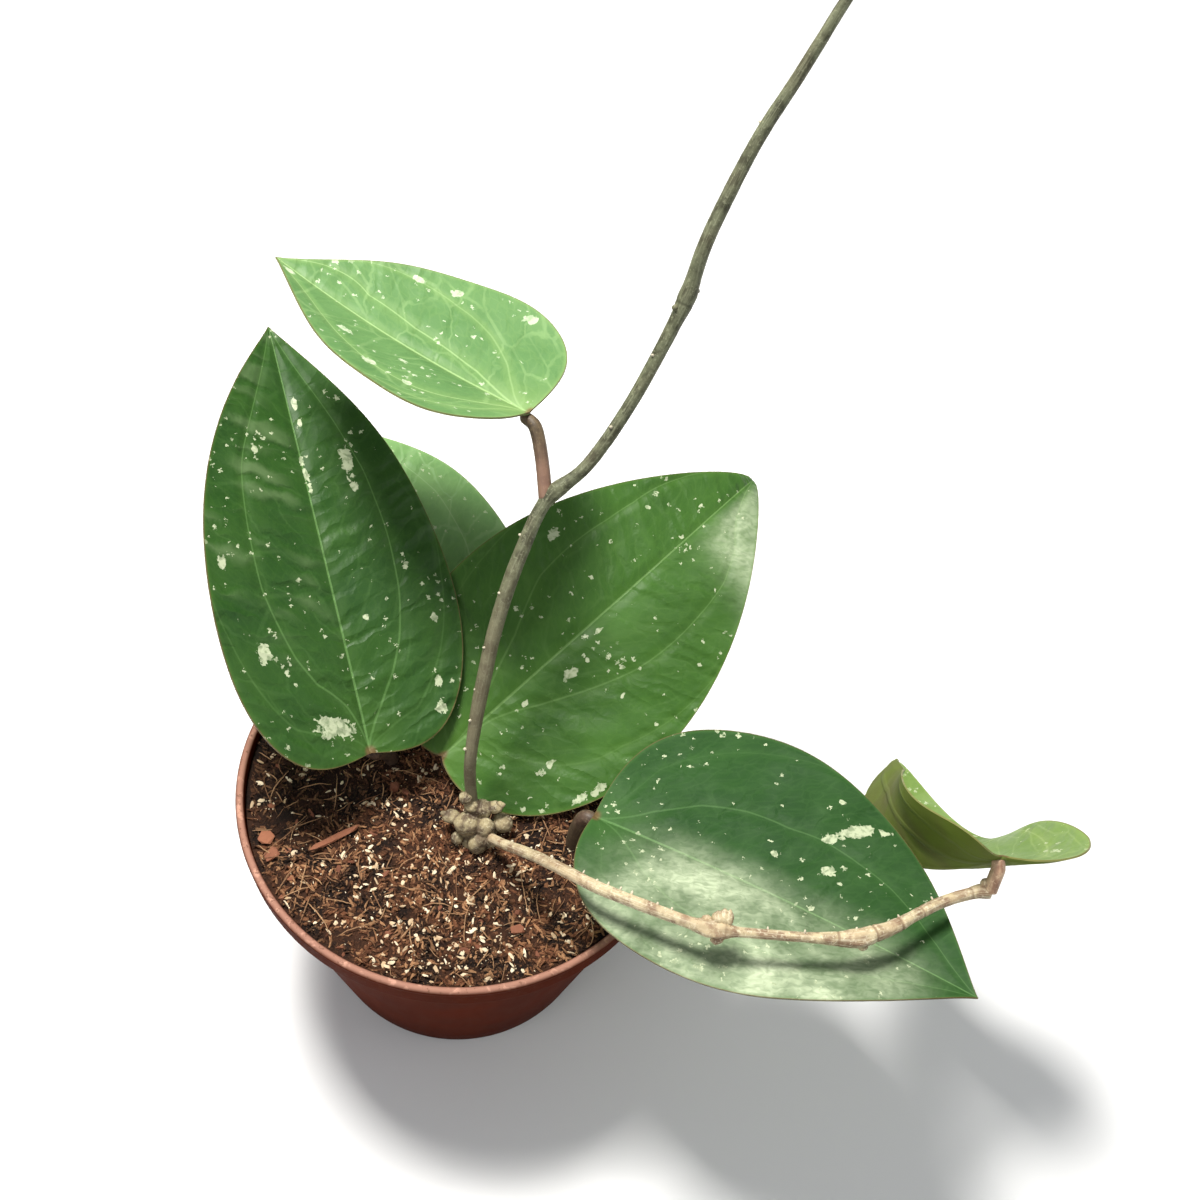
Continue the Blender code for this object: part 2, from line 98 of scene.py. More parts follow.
class Value:
    """A number that changes over a surface, with arithmetic that adds Math nodes."""

    def __init__(self, nodes: "Nodes", socket: Socket) -> None:
        """Wrap one output socket of a material's nodes."""
        self.nodes = nodes
        self.socket = socket

    def maths(self, operation: str, *terms: "Value | float", clamp: bool = False) -> "Value":
        """Result of one Math node, kept between 0 and 1 if asked."""
        settings = {"operation": operation, "use_clamp": clamp}
        made = self.nodes.make("ShaderNodeMath", settings, dict(enumerate(terms)))
        return Value(self.nodes, made.outputs[0])

    __add__ = __radd__ = two_term("ADD")
    __sub__ = two_term("SUBTRACT")
    __rsub__ = two_term("SUBTRACT", turned=True)
    __mul__ = __rmul__ = two_term("MULTIPLY")
    __truediv__ = two_term("DIVIDE")
    __pow__ = two_term("POWER")
    least = two_term("MINIMUM")
    most = two_term("MAXIMUM")

    def __abs__(self) -> "Value":
        """Size without its sign."""
        return self.maths("ABSOLUTE", self)

    def clamped(self) -> "Value":
        """Kept between 0 and 1."""
        return self.maths("ADD", self, 0.0, clamp=True)

    def rise(self, low: float, high: float) -> "Value":
        """Smooth step from 0 at low up to 1 at high."""
        settings = {"interpolation_type": "SMOOTHSTEP", "clamp": True}
        sockets = {"Value": self, "From Min": low, "From Max": high, "To Min": 0.0, "To Max": 1.0}
        made = self.nodes.make("ShaderNodeMapRange", settings, sockets)
        return Value(self.nodes, made.outputs["Result"])

    def fall(self, low: float, high: float) -> "Value":
        """Smooth step from 1 at low down to 0 at high."""
        return 1.0 - self.rise(low, high)

    def between(self, low: float, high: float) -> "Value":
        """What goes in a straight line from low at 0 to high at 1."""
        return low + (high - low) * self


class Nodes:
    """The nodes of one material, made by one method, and the surface that they end in."""

    def __init__(self, name: str) -> None:
        """Start a material with an empty node tree."""
        self.material = bpy.data.materials.new(name)
        self.material.use_nodes = True
        self.tree = self.material.node_tree
        self.tree.nodes.clear()

    def make(self, kind: str, settings: dict | None = None, sockets: dict | None = None) -> bpy.types.Node:
        """Add a node, with its settings and then its inputs by name or place."""
        made = self.tree.nodes.new(kind)
        for name, value in (settings or {}).items():
            setattr(made, name, value)
        for name, value in (sockets or {}).items():
            self.feed(made.inputs[name], value)
        return made

    def feed(self, target: Socket, value: object) -> None:
        """Link a value to an input socket, or set the socket's own number or colour."""
        if isinstance(value, Value):
            value = value.socket
        if isinstance(value, Socket):
            self.tree.links.new(value, target)
        elif target.type == "RGBA":
            target.default_value = (*value, 1)
        else:
            target.default_value = value

    def place(self) -> Socket:
        """Object coordinates."""
        return self.make("ShaderNodeTexCoord").outputs["Object"]

    def attribute(self, name: str) -> Value:
        """A number that the piece carries on its points."""
        return Value(self, self.make("ShaderNodeAttribute", {"attribute_name": name}).outputs["Fac"])

    def vector(self, name: str) -> Socket:
        """A vector that the piece carries on its points."""
        return self.make("ShaderNodeAttribute", {"attribute_name": name}).outputs["Vector"]

    def mapped(self, vector: Socket, scale: Point, shift: Point = (0, 0, 0)) -> Socket:
        """A vector stretched and moved by a Mapping node."""
        made = self.make("ShaderNodeMapping", None, {"Vector": vector, "Scale": scale, "Location": shift})
        return made.outputs["Vector"]

    def split(self, vector: Socket) -> tuple[Value, Value, Value]:
        """The three numbers of a vector."""
        made = self.make("ShaderNodeSeparateXYZ", None, {"Vector": vector})
        return tuple(Value(self, made.outputs[i]) for i in range(3))

    def joined(self, x: "Value | float", y: "Value | float", z: "Value | float" = 0.0) -> Socket:
        """A vector of three numbers."""
        return self.make("ShaderNodeCombineXYZ", None, {"X": x, "Y": y, "Z": z}).outputs[0]

    def noise(self, vector: Socket, cloud: Cloud) -> Value:
        """Cloudy noise between 0 and 1, read at a vector."""
        sockets = {"Vector": vector, "Scale": cloud.scale, "Detail": cloud.detail, "Distortion": cloud.twist}
        return Value(self, self.make("ShaderNodeTexNoise", None, sockets).outputs[0])

    def sway(self, vector: Socket, cloud: Cloud, reach: float) -> Value:
        """Cloudy noise about 0, as wide as its reach."""
        return (self.noise(vector, cloud) - 0.5) * reach

    def cells(self, vector: Socket, scale: float) -> tuple[Value, Value]:
        """Distance from the middle of each Voronoi cell, and the cell's random number."""
        made = self.make("ShaderNodeTexVoronoi", None, {"Vector": vector, "Scale": scale})
        return Value(self, made.outputs["Distance"]), self.split(made.outputs["Color"])[0]

    def seams(self, x: Value, y: Value, z: float = 0.0) -> Value:
        """Distance from the nearest seam between Voronoi cells of size 1."""
        sockets = {"Vector": self.joined(x, y, z), "Scale": 1}
        made = self.make("ShaderNodeTexVoronoi", {"feature": "DISTANCE_TO_EDGE"}, sockets)
        return Value(self, made.outputs["Distance"])

    def mix(self, factor: "Value | float", first: object, second: object) -> Socket:
        """Two colours or links blended, with the factor as how much of the second shows."""
        settings = {"data_type": "RGBA", "clamp_factor": True}
        return self.make("ShaderNodeMix", settings, {0: factor, 6: first, 7: second}).outputs[2]

    def bump(self, height: Value, depth: float, below: Socket | None = None) -> Socket:
        """Relief as deep in metres as its depth at a height of 1, on top of the one below."""
        sockets = {"Strength": 1.0, "Distance": depth, "Height": height}
        if below:
            sockets["Normal"] = below
        return self.make("ShaderNodeBump", None, sockets).outputs["Normal"]

    def surface(self, colour: object, rough: object, shine: float, normal: Socket | None = None) -> Material:
        """End the material in a Principled shader, and give it back."""
        sockets = {"Base Color": colour, "Roughness": rough, "Specular IOR Level": shine}
        if normal:
            sockets["Normal"] = normal
        shader = self.make("ShaderNodeBsdfPrincipled", None, sockets)
        self.make("ShaderNodeOutputMaterial", None, {"Surface": shader.outputs[0]})
        return self.material


# Finishes

# The net of veins, as both faces of a leaf show it
NET_SLANT = 0.75
NET_ALONG = 0.085
NET_ACROSS = 0.062
OUTER_VEIN_WEIGHT = 1.6


@dataclass(frozen=True)
class MouldedPlastic:
    """Thin terracotta-coloured plastic, faintly mottled, with a painted highlight broken by scuffs along the
    top of the lip, and dusty near the soil.
    """

    name: str = "moulded_terracotta_plastic"
    # Body colours kept darker than the plastic itself, partly as painted shade over the pot's walls
    body: Colour = (0.074, 0.0105, 0.002)
    deep: Colour = (0.059, 0.0085, 0.0016)
    # Pale colour of the faint streaks and of the painted highlight along the top of the lip
    worn: Colour = (0.60, 0.33, 0.24)
    earth: Colour = (0.10, 0.045, 0.026)
    mottle: Cloud = Cloud(60, 3)
    mottle_range: Range = (0.35, 0.7)
    streak_stretch: Point = (260, 260, 18)
    streak_range: Range = (0.58, 0.8)
    streak_show: float = 0.015
    lip_highlight_heights: Range = (0.0831, 0.0841)
    lip_highlight_show: Range = (0.55, 0.90)
    scuffs: Cloud = Cloud(420, 4, 0.6)
    scuff_range: Range = (0.52, 0.66)
    dirt_heights: Range = (0.070, 0.084)
    dirt: Cloud = Cloud(900, 5)
    dirt_range: Range = (0.60, 0.68)
    dirt_show: float = 0.55
    grain: Cloud = Cloud(2600)
    grain_depth: float = 0.00004
    rough: float = 0.42
    rough_by_mottle: float = 0.14
    rough_by_streak: float = 0.12
    shine: float = 0.012

    def material(self) -> Material:
        """The plastic's material."""
        nodes = Nodes(self.name)
        place = nodes.place()
        height = nodes.split(place)[2]
        mottle = nodes.noise(place, self.mottle)
        streak = nodes.noise(nodes.mapped(place, self.streak_stretch), Cloud(1))
        grain = nodes.noise(place, self.grain)
        colour = nodes.mix(mottle.rise(*self.mottle_range), self.deep, self.body)
        colour = nodes.mix(streak.rise(*self.streak_range) * self.streak_show, colour, self.worn)
        scuffs = nodes.noise(place, self.scuffs).rise(*self.scuff_range)
        # Painted highlight along the top of the lip, broken by scuffs
        lip = height.rise(*self.lip_highlight_heights) * scuffs.between(*self.lip_highlight_show)
        colour = nodes.mix(lip, colour, self.worn)
        dirt = height.rise(*self.dirt_heights) * nodes.noise(place, self.dirt).rise(*self.dirt_range)
        colour = nodes.mix(dirt * self.dirt_show, colour, self.earth)
        rough = self.rough + self.rough_by_mottle * mottle + self.rough_by_streak * streak
        return nodes.surface(colour, rough, self.shine, nodes.bump(grain, self.grain_depth))


@dataclass(frozen=True)
class BarkMix:
    """Brown mix of bark and coir, darker in its hollows, and with painted shade near the pot's left rim,
    under the left leaf.
    """

    name: str
    light: Colour
    mid: Colour
    dark: Colour
    tinted: bool = False
    clods: Cloud = Cloud(180, 4)
    clod_range: Range = (0.38, 0.62)
    grit: Cloud = Cloud(1700, 4, 0.8)
    grit_range: Range = (0.52, 0.74)
    grit_show: float = 0.7
    grit_depth: float = 0.0006
    pale_tints: Range = (0.55, 1.0)
    pale_show: float = 0.75
    dark_tints: Range = (0.0, 0.45)
    dark_show: float = 0.65
    # Painted shade: where, how far and how strongly the mix is darkened under the left leaf
    shade_place: tuple[float, float] = (-0.044, -0.001)
    shade_reach: float = 0.026
    shade_range: Range = (0.45, 1.1)
    shade_by_clods: Range = (0.4, 1.0)
    shade_show: float = 0.85
    rough: float = 0.88
    shine: float = 0.25

    def material(self) -> Material:
        """The mix's material."""
        nodes = Nodes(self.name)
        place = nodes.place()
        clods = nodes.noise(place, self.clods)
        grit = nodes.noise(place, self.grit)
        colour = nodes.mix(clods.rise(*self.clod_range), self.dark, self.mid)
        colour = nodes.mix(grit.rise(*self.grit_range) * self.grit_show, colour, self.light)
        if self.tinted:
            tint = nodes.attribute("tint")
            colour = nodes.mix(tint.rise(*self.pale_tints) * self.pale_show, colour, self.light)
            colour = nodes.mix(tint.fall(*self.dark_tints) * self.dark_show, colour, self.dark)
        # Painted shade under the left leaf, near the pot's left rim
        x, y, _ = nodes.split(place)
        away = ((x - self.shade_place[0]) ** 2 + (y - self.shade_place[1]) ** 2) ** 0.5 / self.shade_reach
        painted_shade = away.fall(*self.shade_range) * clods.between(*self.shade_by_clods)
        colour = nodes.mix((painted_shade * self.shade_show).clamped(), colour, self.dark)
        return nodes.surface(colour, self.rough, self.shine, nodes.bump(grit, self.grit_depth))


@dataclass(frozen=True)
class WoodChip:
    """Dry chips, flakes or fibres, each of its own tint."""

    name: str
    pale: Colour
    brown: Colour
    grain: Cloud = Cloud(1500, 3, 0.5)
    tint_share: float = 0.8
    grain_share: float = 0.5
    shade: float = 0.15
    grain_depth: float = 0.0002
    rough: float = 0.8
    shine: float = 0.3

    def material(self) -> Material:
        """The chip's material."""
        nodes = Nodes(self.name)
        place = nodes.place()
        grain = nodes.noise(place, self.grain)
        paleness = nodes.attribute("tint") * self.tint_share + grain * self.grain_share - self.shade
        colour = nodes.mix(paleness.clamped(), self.brown, self.pale)
        return nodes.surface(colour, self.rough, self.shine, nodes.bump(grain, self.grain_depth))


@dataclass(frozen=True)
class Bark:
    """Skin of a vine, petiole or crown: lengthwise fibres, mottling and pale scurf, darker at scars and with
    painted shade in the creases between the crown's knobs.
    """

    name: str
    light: Colour
    mid: Colour
    dark: Colour
    blush: Colour
    blush_show: float
    fibre_show: float
    rough: float
    relief: float
    foot_reach: float = 0
    foot_start: float = 0.25
    foot_show: Range = (0.35, 0.80)
    nub: Colour = (0.62, 0.56, 0.42)
    nub_range: Range = (-0.9, -0.4)
    nub_show: float = 0.8
    scar_and_crease_shade_range: Range = (0.2, 0.8)
    scar_and_crease_shade_show: float = 0.75
    blushes: Cloud = Cloud(90)
    blush_range: Range = (0.42, 0.62)
    fibre_stretch: Point = (2.2, 0.14, 2.2)
    fibres: Cloud = Cloud(1, 4, 0.4)
    fibre_range: Range = (0.48, 0.66)
    mottle: Cloud = Cloud(320, 4, 0.3)
    mottle_range: Range = (0.36, 0.6)
    specks: Cloud = Cloud(1500, 3, 0.5)
    pale_specks: Range = (0.56, 0.66)
    pale_show: float = 0.5
    dark_specks: Range = (0.30, 0.40)
    dark_show: float = 0.55
    fibre_relief: float = 0.6
    speck_relief: float = 0.3
    scar_relief: float = 0.5
    shine: float = 0.35

    def material(self) -> Material:
        """The bark's material."""
        nodes = Nodes(self.name)
        place = nodes.place()
        course = nodes.vector("course")
        fibres = nodes.noise(nodes.mapped(course, self.fibre_stretch), self.fibres)
        mottle = nodes.noise(place, self.mottle)
        specks = nodes.noise(place, self.specks)
        colour = nodes.mix(mottle.rise(*self.mottle_range), self.dark, self.mid)
        colour = nodes.mix(fibres.rise(*self.fibre_range) * self.fibre_show, colour, self.light)
        colour = nodes.mix(specks.rise(*self.pale_specks) * self.pale_show, colour, self.light)
        colour = nodes.mix(specks.fall(*self.dark_specks) * self.dark_show, colour, self.dark)
        blushes = nodes.noise(place, self.blushes).rise(*self.blush_range)
        colour = nodes.mix(blushes * self.blush_show, colour, self.blush)
        if self.foot_reach:
            foot = nodes.split(course)[1].fall(self.foot_start * self.foot_reach, self.foot_reach)
            colour = nodes.mix(foot * mottle.between(*self.foot_show), colour, self.blush)
        # Darker at the stems' scars and, as painted shade, in the creases between the crown's knobs; paler on
        # small nubs
        scar_and_crease_shade = nodes.attribute("scar_and_crease_shade")
        colour = nodes.mix(scar_and_crease_shade.rise(*self.scar_and_crease_shade_range) * self.scar_and_crease_shade_show, colour, self.dark)
        colour = nodes.mix(scar_and_crease_shade.fall(*self.nub_range) * self.nub_show, colour, self.nub)
        height = fibres * self.fibre_relief + specks * self.speck_relief - scar_and_crease_shade * self.scar_relief
        return nodes.surface(colour, self.rough, self.shine, nodes.bump(height, self.relief))


@dataclass(frozen=True)
class Drops:
    """Flecks of one size: cells in a millimetre, luck at which they are full, their size and soft edge."""

    scale: float
    full: float
    size: float
    edge: Range
    limit_step: float = 0.02

    def shown(self, distance: Value, luck: Value, limit: float) -> Value:
        """1 in a fleck and 0 outside, in cells whose luck is over the limit."""
        size = luck.rise(limit, self.full) * self.size
        return (distance - size).fall(*self.edge) * luck.rise(limit, limit + self.limit_step)


@dataclass(frozen=True)
class LeafMarks:
    """What all upper faces share. Places on the blade and widths are in millimetres, along from 0 to 1."""

    # Veins, and the net and fine mesh between them
    wander: Cloud = Cloud(0.16, 3)
    wander_reach: float = 5.0
    mesh_along: float = 0.34
    mesh_across: float = 0.3
    vein_taper: float = 0.55
    midrib_width: Range = (0.18, 0.55)
    inner_width: Range = (0.12, 0.42)
    outer_width: Range = (0.10, 0.36)
    halo_width: Range = (0.3, 4.5)
    net_parts: Cloud = Cloud(0.09)
    net_part_range: Range = (0.35, 0.6)
    net_width: Range = (0.010, 0.042)
    net_by_part: Range = (0.35, 1.0)
    mesh_width: Range = (0.02, 0.12)
    mesh_show: float = 0.10
    # Clouds of deeper and fresher green
    cloud: Cloud = Cloud(55, 3, 0.6)
    cloud_share: float = 1.3
    cloud_start: float = 0.3
    marble: Cloud = Cloud(210, 4, 0.5)
    marble_share: float = 0.35
    base_along: Range = (0.0, 0.22)
    base_across: Range = (2.0, 16.0)
    base_show: float = 0.45
    # Ridges between the veins, and the pale light on their crests
    ridge_slant: float = 0.35
    ridge_along: float = 0.17
    ridge_across: float = 0.042
    crest_ridges: Range = (0.08, 0.42)
    crest_clouds: Range = (0.3, 0.6)
    crest_across: Range = (-3.0, 3.0)
    crest_along: Range = (0.2, 0.45)
    # Painted sheen, whitish and broken by cloudy and scratchy noise
    sheen_clouds: Cloud = Cloud(48, 4, 0.9)
    sheen_cloud_range: Range = (0.34, 0.66)
    sheen_by_cloud: Range = (0.32, 1.0)
    scratches: Cloud = Cloud(380, 4, 1.0)
    scratch_stretch: Point = (1, 1.8, 1)
    scratch_range: Range = (0.30, 0.66)
    sheen_by_scratch: Range = (0.62, 1.0)
    # Flecks, their torn edges and how they crowd
    tear: Cloud = Cloud(1.3, 3, 0.3)
    tear_across: Cloud = Cloud(1.3, 3)
    tear_reach: float = 2.4
    tear_shift: Point = (31, 7, 3)
    rag: Cloud = Cloud(1500, 4)
    rag_reach: float = 0.5
    crowd: Cloud = Cloud(42, 3, 0.5)
    crowd_reach: float = 1.3
    dots: Drops = Drops(scale=0.55, full=1.15, size=0.26, edge=(0.07, 0.13))
    blots: Drops = Drops(scale=0.17, full=1.2, size=0.14, edge=(0.05, 0.09))
    blot_limit: float = 0.80
    blot_rag: float = 0.6
    blot_stretch: Point = (1, 1.35, 1)
    blot_shift: Point = (5.5, 2.5, 0)
    tatter: Cloud = Cloud(0.55, 5, 0.6)
    tatter_reach: float = 1.5
    patch_rag: float = 0.5
    patch_edge: Range = (0.50, 0.58)
    patch_field: Range = (0.08, 0.2)
    wear: Cloud = Cloud(700, 4, 0.4)
    wear_range: Range = (0.36, 0.56)
    seed_step: float = 9
    # Margin, and the spot where the petiole meets the blade
    border_width: Range = (0.25, 1.3)
    border_show: float = 0.35
    edge_width: Range = (0.08, 0.3)
    edge_show: float = 0.55
    stalk_along: Range = (0.008, 0.022)
    stalk_across: Range = (0.8, 2.2)
    stalk_show: float = 0.8
    # Relief and roughness
    ridge_rise: Range = (0.0, 0.38)
    ridge_relief: float = 0.6
    net_rise: Range = (0.0, 0.45)
    net_relief: float = 0.3
    halo_relief: float = 0.3
    midrib_relief: float = 0.12
    pores: Cloud = Cloud(2300)
    pore_depth: float = 0.00002
    dull: Cloud = Cloud(75, 4, 0.8)
    dull_range: Range = (0.35, 0.7)
    rough_by_dull: float = 0.16
    rough_by_marble: float = 0.06


@dataclass(frozen=True)
class LeafSkin:
    """Upper face of one leaf: green between pale veins, with cream flecks and a fine reddish margin."""

    name: str
    green: Colour
    deep: Colour
    fresh: Colour
    vein: Colour
    fleck: Colour = (0.50, 0.55, 0.36)
    edge: Colour = (0.16, 0.085, 0.04)
    vein_show: float = 0.75
    inner_show: float = 0.6
    outer_show: float = 0.25
    net_show: float = 0.16
    halo: float = 0.12
    fleck_limit: float = 0.66
    fleck_show: float = 0.88
    # Painted sheen: a whitish veil for the light's reflection on part of the blade
    painted_sheen: float = 0.0
    painted_sheen_colour: Colour = (0.60, 0.68, 0.46)
    painted_sheen_side: Range = (-1.0, 6.0)
    painted_sheen_from: Range = (0.03, 0.20)
    painted_sheen_to: Range = (0.75, 0.97)
    crest: float = 0.0
    crest_colour: Colour = (0.13, 0.20, 0.085)
    quilt: float = 0.0005
    rough: float = 0.42
    shine: float = 0.22
    seed: float = 0.0
    marks: LeafMarks = LeafMarks()

    def material(self) -> Material:
        """The upper face's material."""
        nodes, marks = Nodes(self.name), self.marks
        place = nodes.mapped(nodes.place(), (1, 1, 1), (self.seed, 0, 0))
        flat = nodes.vector("flat")
        run, across, _ = nodes.split(flat)
        along, margin = nodes.attribute("along"), nodes.attribute("margin")
        inner, outer = abs(nodes.attribute("inner")), abs(nodes.attribute("outer"))
        cloud = nodes.noise(place, marks.cloud)
        marble = nodes.noise(place, marks.marble)

        # Where the veins, the net between them and the soft ridges lie
        wander = nodes.sway(flat, marks.wander, marks.wander_reach)
        slope = run - NET_SLANT * abs(across) + wander
        net = nodes.seams(slope * NET_ALONG + self.seed, (across + wander) * NET_ACROSS, self.seed)
        mesh = nodes.seams(slope * marks.mesh_along, (across - wander) * marks.mesh_across, self.seed)
        lean = run - marks.ridge_slant * abs(across) + wander
        ridges = nodes.seams(lean * marks.ridge_along, across * marks.ridge_across, self.seed)
        taper = 1.0 - marks.vein_taper * along
        middle = abs(across) / taper
        midrib = middle.fall(*marks.midrib_width)
        inner_vein = (inner / taper).fall(*marks.inner_width) * self.inner_show
        outer_vein = (outer / taper).fall(*marks.outer_width) * self.outer_show
        halo = middle.least(inner.least(outer * OUTER_VEIN_WEIGHT) / taper).fall(*marks.halo_width)

        # Greens, then veins, then what lies on them
        shade = (cloud * marks.cloud_share - marks.cloud_start + marble * marks.marble_share).clamped()
        colour = nodes.mix(shade, self.deep, self.green)
        base = along.fall(*marks.base_along) * abs(across).fall(*marks.base_across)
        colour = nodes.mix((halo * self.halo + base * marks.base_show).clamped(), colour, self.fresh)
        colour = nodes.mix(mesh.fall(*marks.mesh_width) * marks.mesh_show, colour, self.fresh)
        parts = nodes.noise(flat, marks.net_parts).rise(*marks.net_part_range)
        threads = net.fall(*marks.net_width) * parts.between(*marks.net_by_part)
        colour = nodes.mix(threads * self.net_show, colour, self.vein)
        colour = nodes.mix(midrib.most(inner_vein.most(outer_vein)) * self.vein_show, colour, self.vein)
        if self.crest:
            pale = ridges.rise(*marks.crest_ridges) * cloud.rise(*marks.crest_clouds)
            pale = pale * across.fall(*marks.crest_across) * along.rise(*marks.crest_along)
            colour = nodes.mix(pale * self.crest, colour, self.crest_colour)
        # Painted sheen where the blade would reflect the light
        if self.painted_sheen:
            painted_sheen = self._painted_sheen(nodes, place, across, along) * self.painted_sheen
            colour = nodes.mix(painted_sheen, colour, self.painted_sheen_colour)
        worn = nodes.noise(place, marks.wear).rise(*marks.wear_range)
        fleck = nodes.mix(worn, nodes.mix(0.5, self.green, self.fleck), self.fleck)
        colour = nodes.mix(self._flecks(nodes, place, flat), colour, fleck)
        colour = nodes.mix(margin.fall(*marks.border_width) * marks.border_show, colour, self.fresh)
        colour = nodes.mix(margin.fall(*marks.edge_width) * marks.edge_show, colour, self.edge)
        stalk = along.fall(*marks.stalk_along) * abs(across).fall(*marks.stalk_across)
        colour = nodes.mix(stalk * marks.stalk_show, colour, self.edge)

        height = ridges.rise(*marks.ridge_rise) * marks.ridge_relief
        height = height + net.rise(*marks.net_rise) * marks.net_relief
        height = height - halo * marks.halo_relief - midrib * marks.midrib_relief
        normal = nodes.bump(height, self.quilt)
        normal = nodes.bump(nodes.noise(place, marks.pores), marks.pore_depth, normal)
        dull = nodes.noise(place, marks.dull).rise(*marks.dull_range)
        rough = self.rough + dull * marks.rough_by_dull + marble * marks.rough_by_marble
        return nodes.surface(colour, rough, self.shine, normal)

    def _painted_sheen(self, nodes: Nodes, place: Socket, across: Value, along: Value) -> Value:
        """How much of a whitish, scratchy painted sheen lies on a part of the blade."""
        marks = self.marks
        cloudy = nodes.noise(place, marks.sheen_clouds).rise(*marks.sheen_cloud_range)
        scratchy = nodes.noise(nodes.mapped(place, marks.scratch_stretch), marks.scratches)
        scratchy = scratchy.rise(*marks.scratch_range)
        window = across.rise(*self.painted_sheen_side) * along.rise(*self.painted_sheen_from) * along.fall(*self.painted_sheen_to)
        painted_sheen = window * cloudy.between(*marks.sheen_by_cloud) * scratchy.between(*marks.sheen_by_scratch)
        return painted_sheen.clamped()

    def _flecks(self, nodes: Nodes, place: Socket, flat: Socket) -> Value:
        """Cream flecks of three sizes: dots, blots and the large patches seen in the photograph.

        Args:
            nodes: the material's nodes.
            place: object coordinates.
            flat: position on the blade in millimetres.

        Returns:
            How much of the fleck colour shows.
        """
        marks = self.marks
        run, across, _ = nodes.split(flat)
        torn_run = nodes.sway(flat, marks.tear, marks.tear_reach)
        shifted = nodes.mapped(flat, (1, 1, 1), marks.tear_shift)
        torn_across = nodes.sway(shifted, marks.tear_across, marks.tear_reach)
        torn = nodes.joined(run + torn_run + self.seed * marks.seed_step, across + torn_across)
        rag = nodes.sway(place, marks.rag, marks.rag_reach)
        crowd = nodes.sway(place, marks.crowd, marks.crowd_reach)
        away, chance = nodes.cells(torn, marks.dots.scale)
        dots = marks.dots.shown(away + rag, chance + crowd, self.fleck_limit)
        stretched = nodes.mapped(torn, marks.blot_stretch, marks.blot_shift)
        away, chance = nodes.cells(stretched, marks.blots.scale)
        blots = marks.blots.shown(away + rag * marks.blot_rag, chance + crowd, marks.blot_limit)
        patch = nodes.attribute("patch")
        tatter = nodes.sway(flat, marks.tatter, marks.tatter_reach) + rag * marks.patch_rag
        patches = (patch + tatter).rise(*marks.patch_edge) * patch.rise(*marks.patch_field)
        return (dots.most(blots).most(patches) * self.fleck_show).clamped()


@dataclass(frozen=True)
class LeafBack:
    """Matt underside of a leaf, with its veins a little raised and paler."""

    name: str
    green: Colour
    deep: Colour
    vein: Colour
    rough: float = 0.6
    shine: float = 0.25
    cloud: Cloud = Cloud(70, 3, 0.5)
    cloud_range: Range = (0.3, 0.7)
    margin_width: Range = (1.0, 14.0)
    margin_show: float = 0.4
    net_width: Range = (0.01, 0.05)
    net_show: float = 0.12
    vein_width: Range = (0.3, 1.1)
    vein_show: float = 0.45
    vein_relief: float = 0.5
    grain: Cloud = Cloud(900, 3)
    grain_relief: float = 0.12
    relief: float = 0.0004

    def material(self) -> Material:
        """The underside's material."""
        nodes = Nodes(self.name)
        place = nodes.place()
        run, across, _ = nodes.split(nodes.vector("flat"))
        inner, outer = abs(nodes.attribute("inner")), abs(nodes.attribute("outer"))
        veins = abs(across).least(inner.least(outer * OUTER_VEIN_WEIGHT)).fall(*self.vein_width)
        net = nodes.seams((run - NET_SLANT * abs(across)) * NET_ALONG, across * NET_ACROSS)
        colour = nodes.mix(nodes.noise(place, self.cloud).rise(*self.cloud_range), self.deep, self.green)
        margin = nodes.attribute("margin").fall(*self.margin_width)
        colour = nodes.mix(margin * self.margin_show, colour, self.green)
        colour = nodes.mix(net.fall(*self.net_width) * self.net_show, colour, self.vein)
        colour = nodes.mix(veins * self.vein_show, colour, self.vein)
        height = veins * self.vein_relief + nodes.noise(place, self.grain) * self.grain_relief
        return nodes.surface(colour, self.rough, self.shine, nodes.bump(height, self.relief))


# Mesh work

ROUTE_STEPS = 12


def deselect_all() -> None:
    """Leave no object selected."""
    bpy.ops.object.select_all(action="DESELECT")


def activate(piece: Piece) -> None:
    """Select one object alone and make it the active one."""
    deselect_all()
    piece.select_set(True)
    bpy.context.view_layer.objects.active = piece


def edit(piece: Piece, *steps: Callable[[], object]) -> None:
    """Run operators in edit mode, in order, on all of a piece."""
    activate(piece)
    bpy.ops.object.mode_set(mode="EDIT")
    bpy.ops.mesh.select_all(action="SELECT")
    for step in steps:
        step()
    bpy.ops.object.mode_set(mode="OBJECT")


def modify(piece: Piece, kind: str, **settings: object) -> None:
    """Add a modifier with its settings and apply it."""
    activate(piece)
    made = piece.modifiers.new(kind.lower(), kind)
    for name, value in settings.items():
        setattr(made, name, value)
    bpy.ops.object.modifier_apply(modifier=made.name)


def settle(piece: Piece) -> None:
    """Put a piece's place into its mesh, with its object at the origin."""
    activate(piece)
    bpy.ops.object.transform_apply(location=True, rotation=True, scale=True)


def smooth(piece: Piece, angle: float = 40) -> None:
    """Shade a piece smooth up to an angle in degrees."""
    activate(piece)
    bpy.ops.object.shade_smooth_by_angle(angle=math.radians(angle))


def carry(piece: Piece, name: str, numbers: Sequence[float]) -> None:
    """Store one number for each of a mesh's points."""
    layer = piece.data.attributes.new(name, "FLOAT", "POINT")
    layer.data.foreach_set("value", numbers)


def carry_vectors(piece: Piece, name: str, vectors: Sequence[Point]) -> None:
    """Store one vector for each of a mesh's points."""
    layer = piece.data.attributes.new(name, "FLOAT_VECTOR", "POINT")
    layer.data.foreach_set("vector", [number for vector in vectors for number in vector])


def place_in_frame(piece: Piece, node: str) -> None:
    """Let a piece ride on the plant and stand for a CAD node, whose solid it hides."""
    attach(piece, "root")
    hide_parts(node)


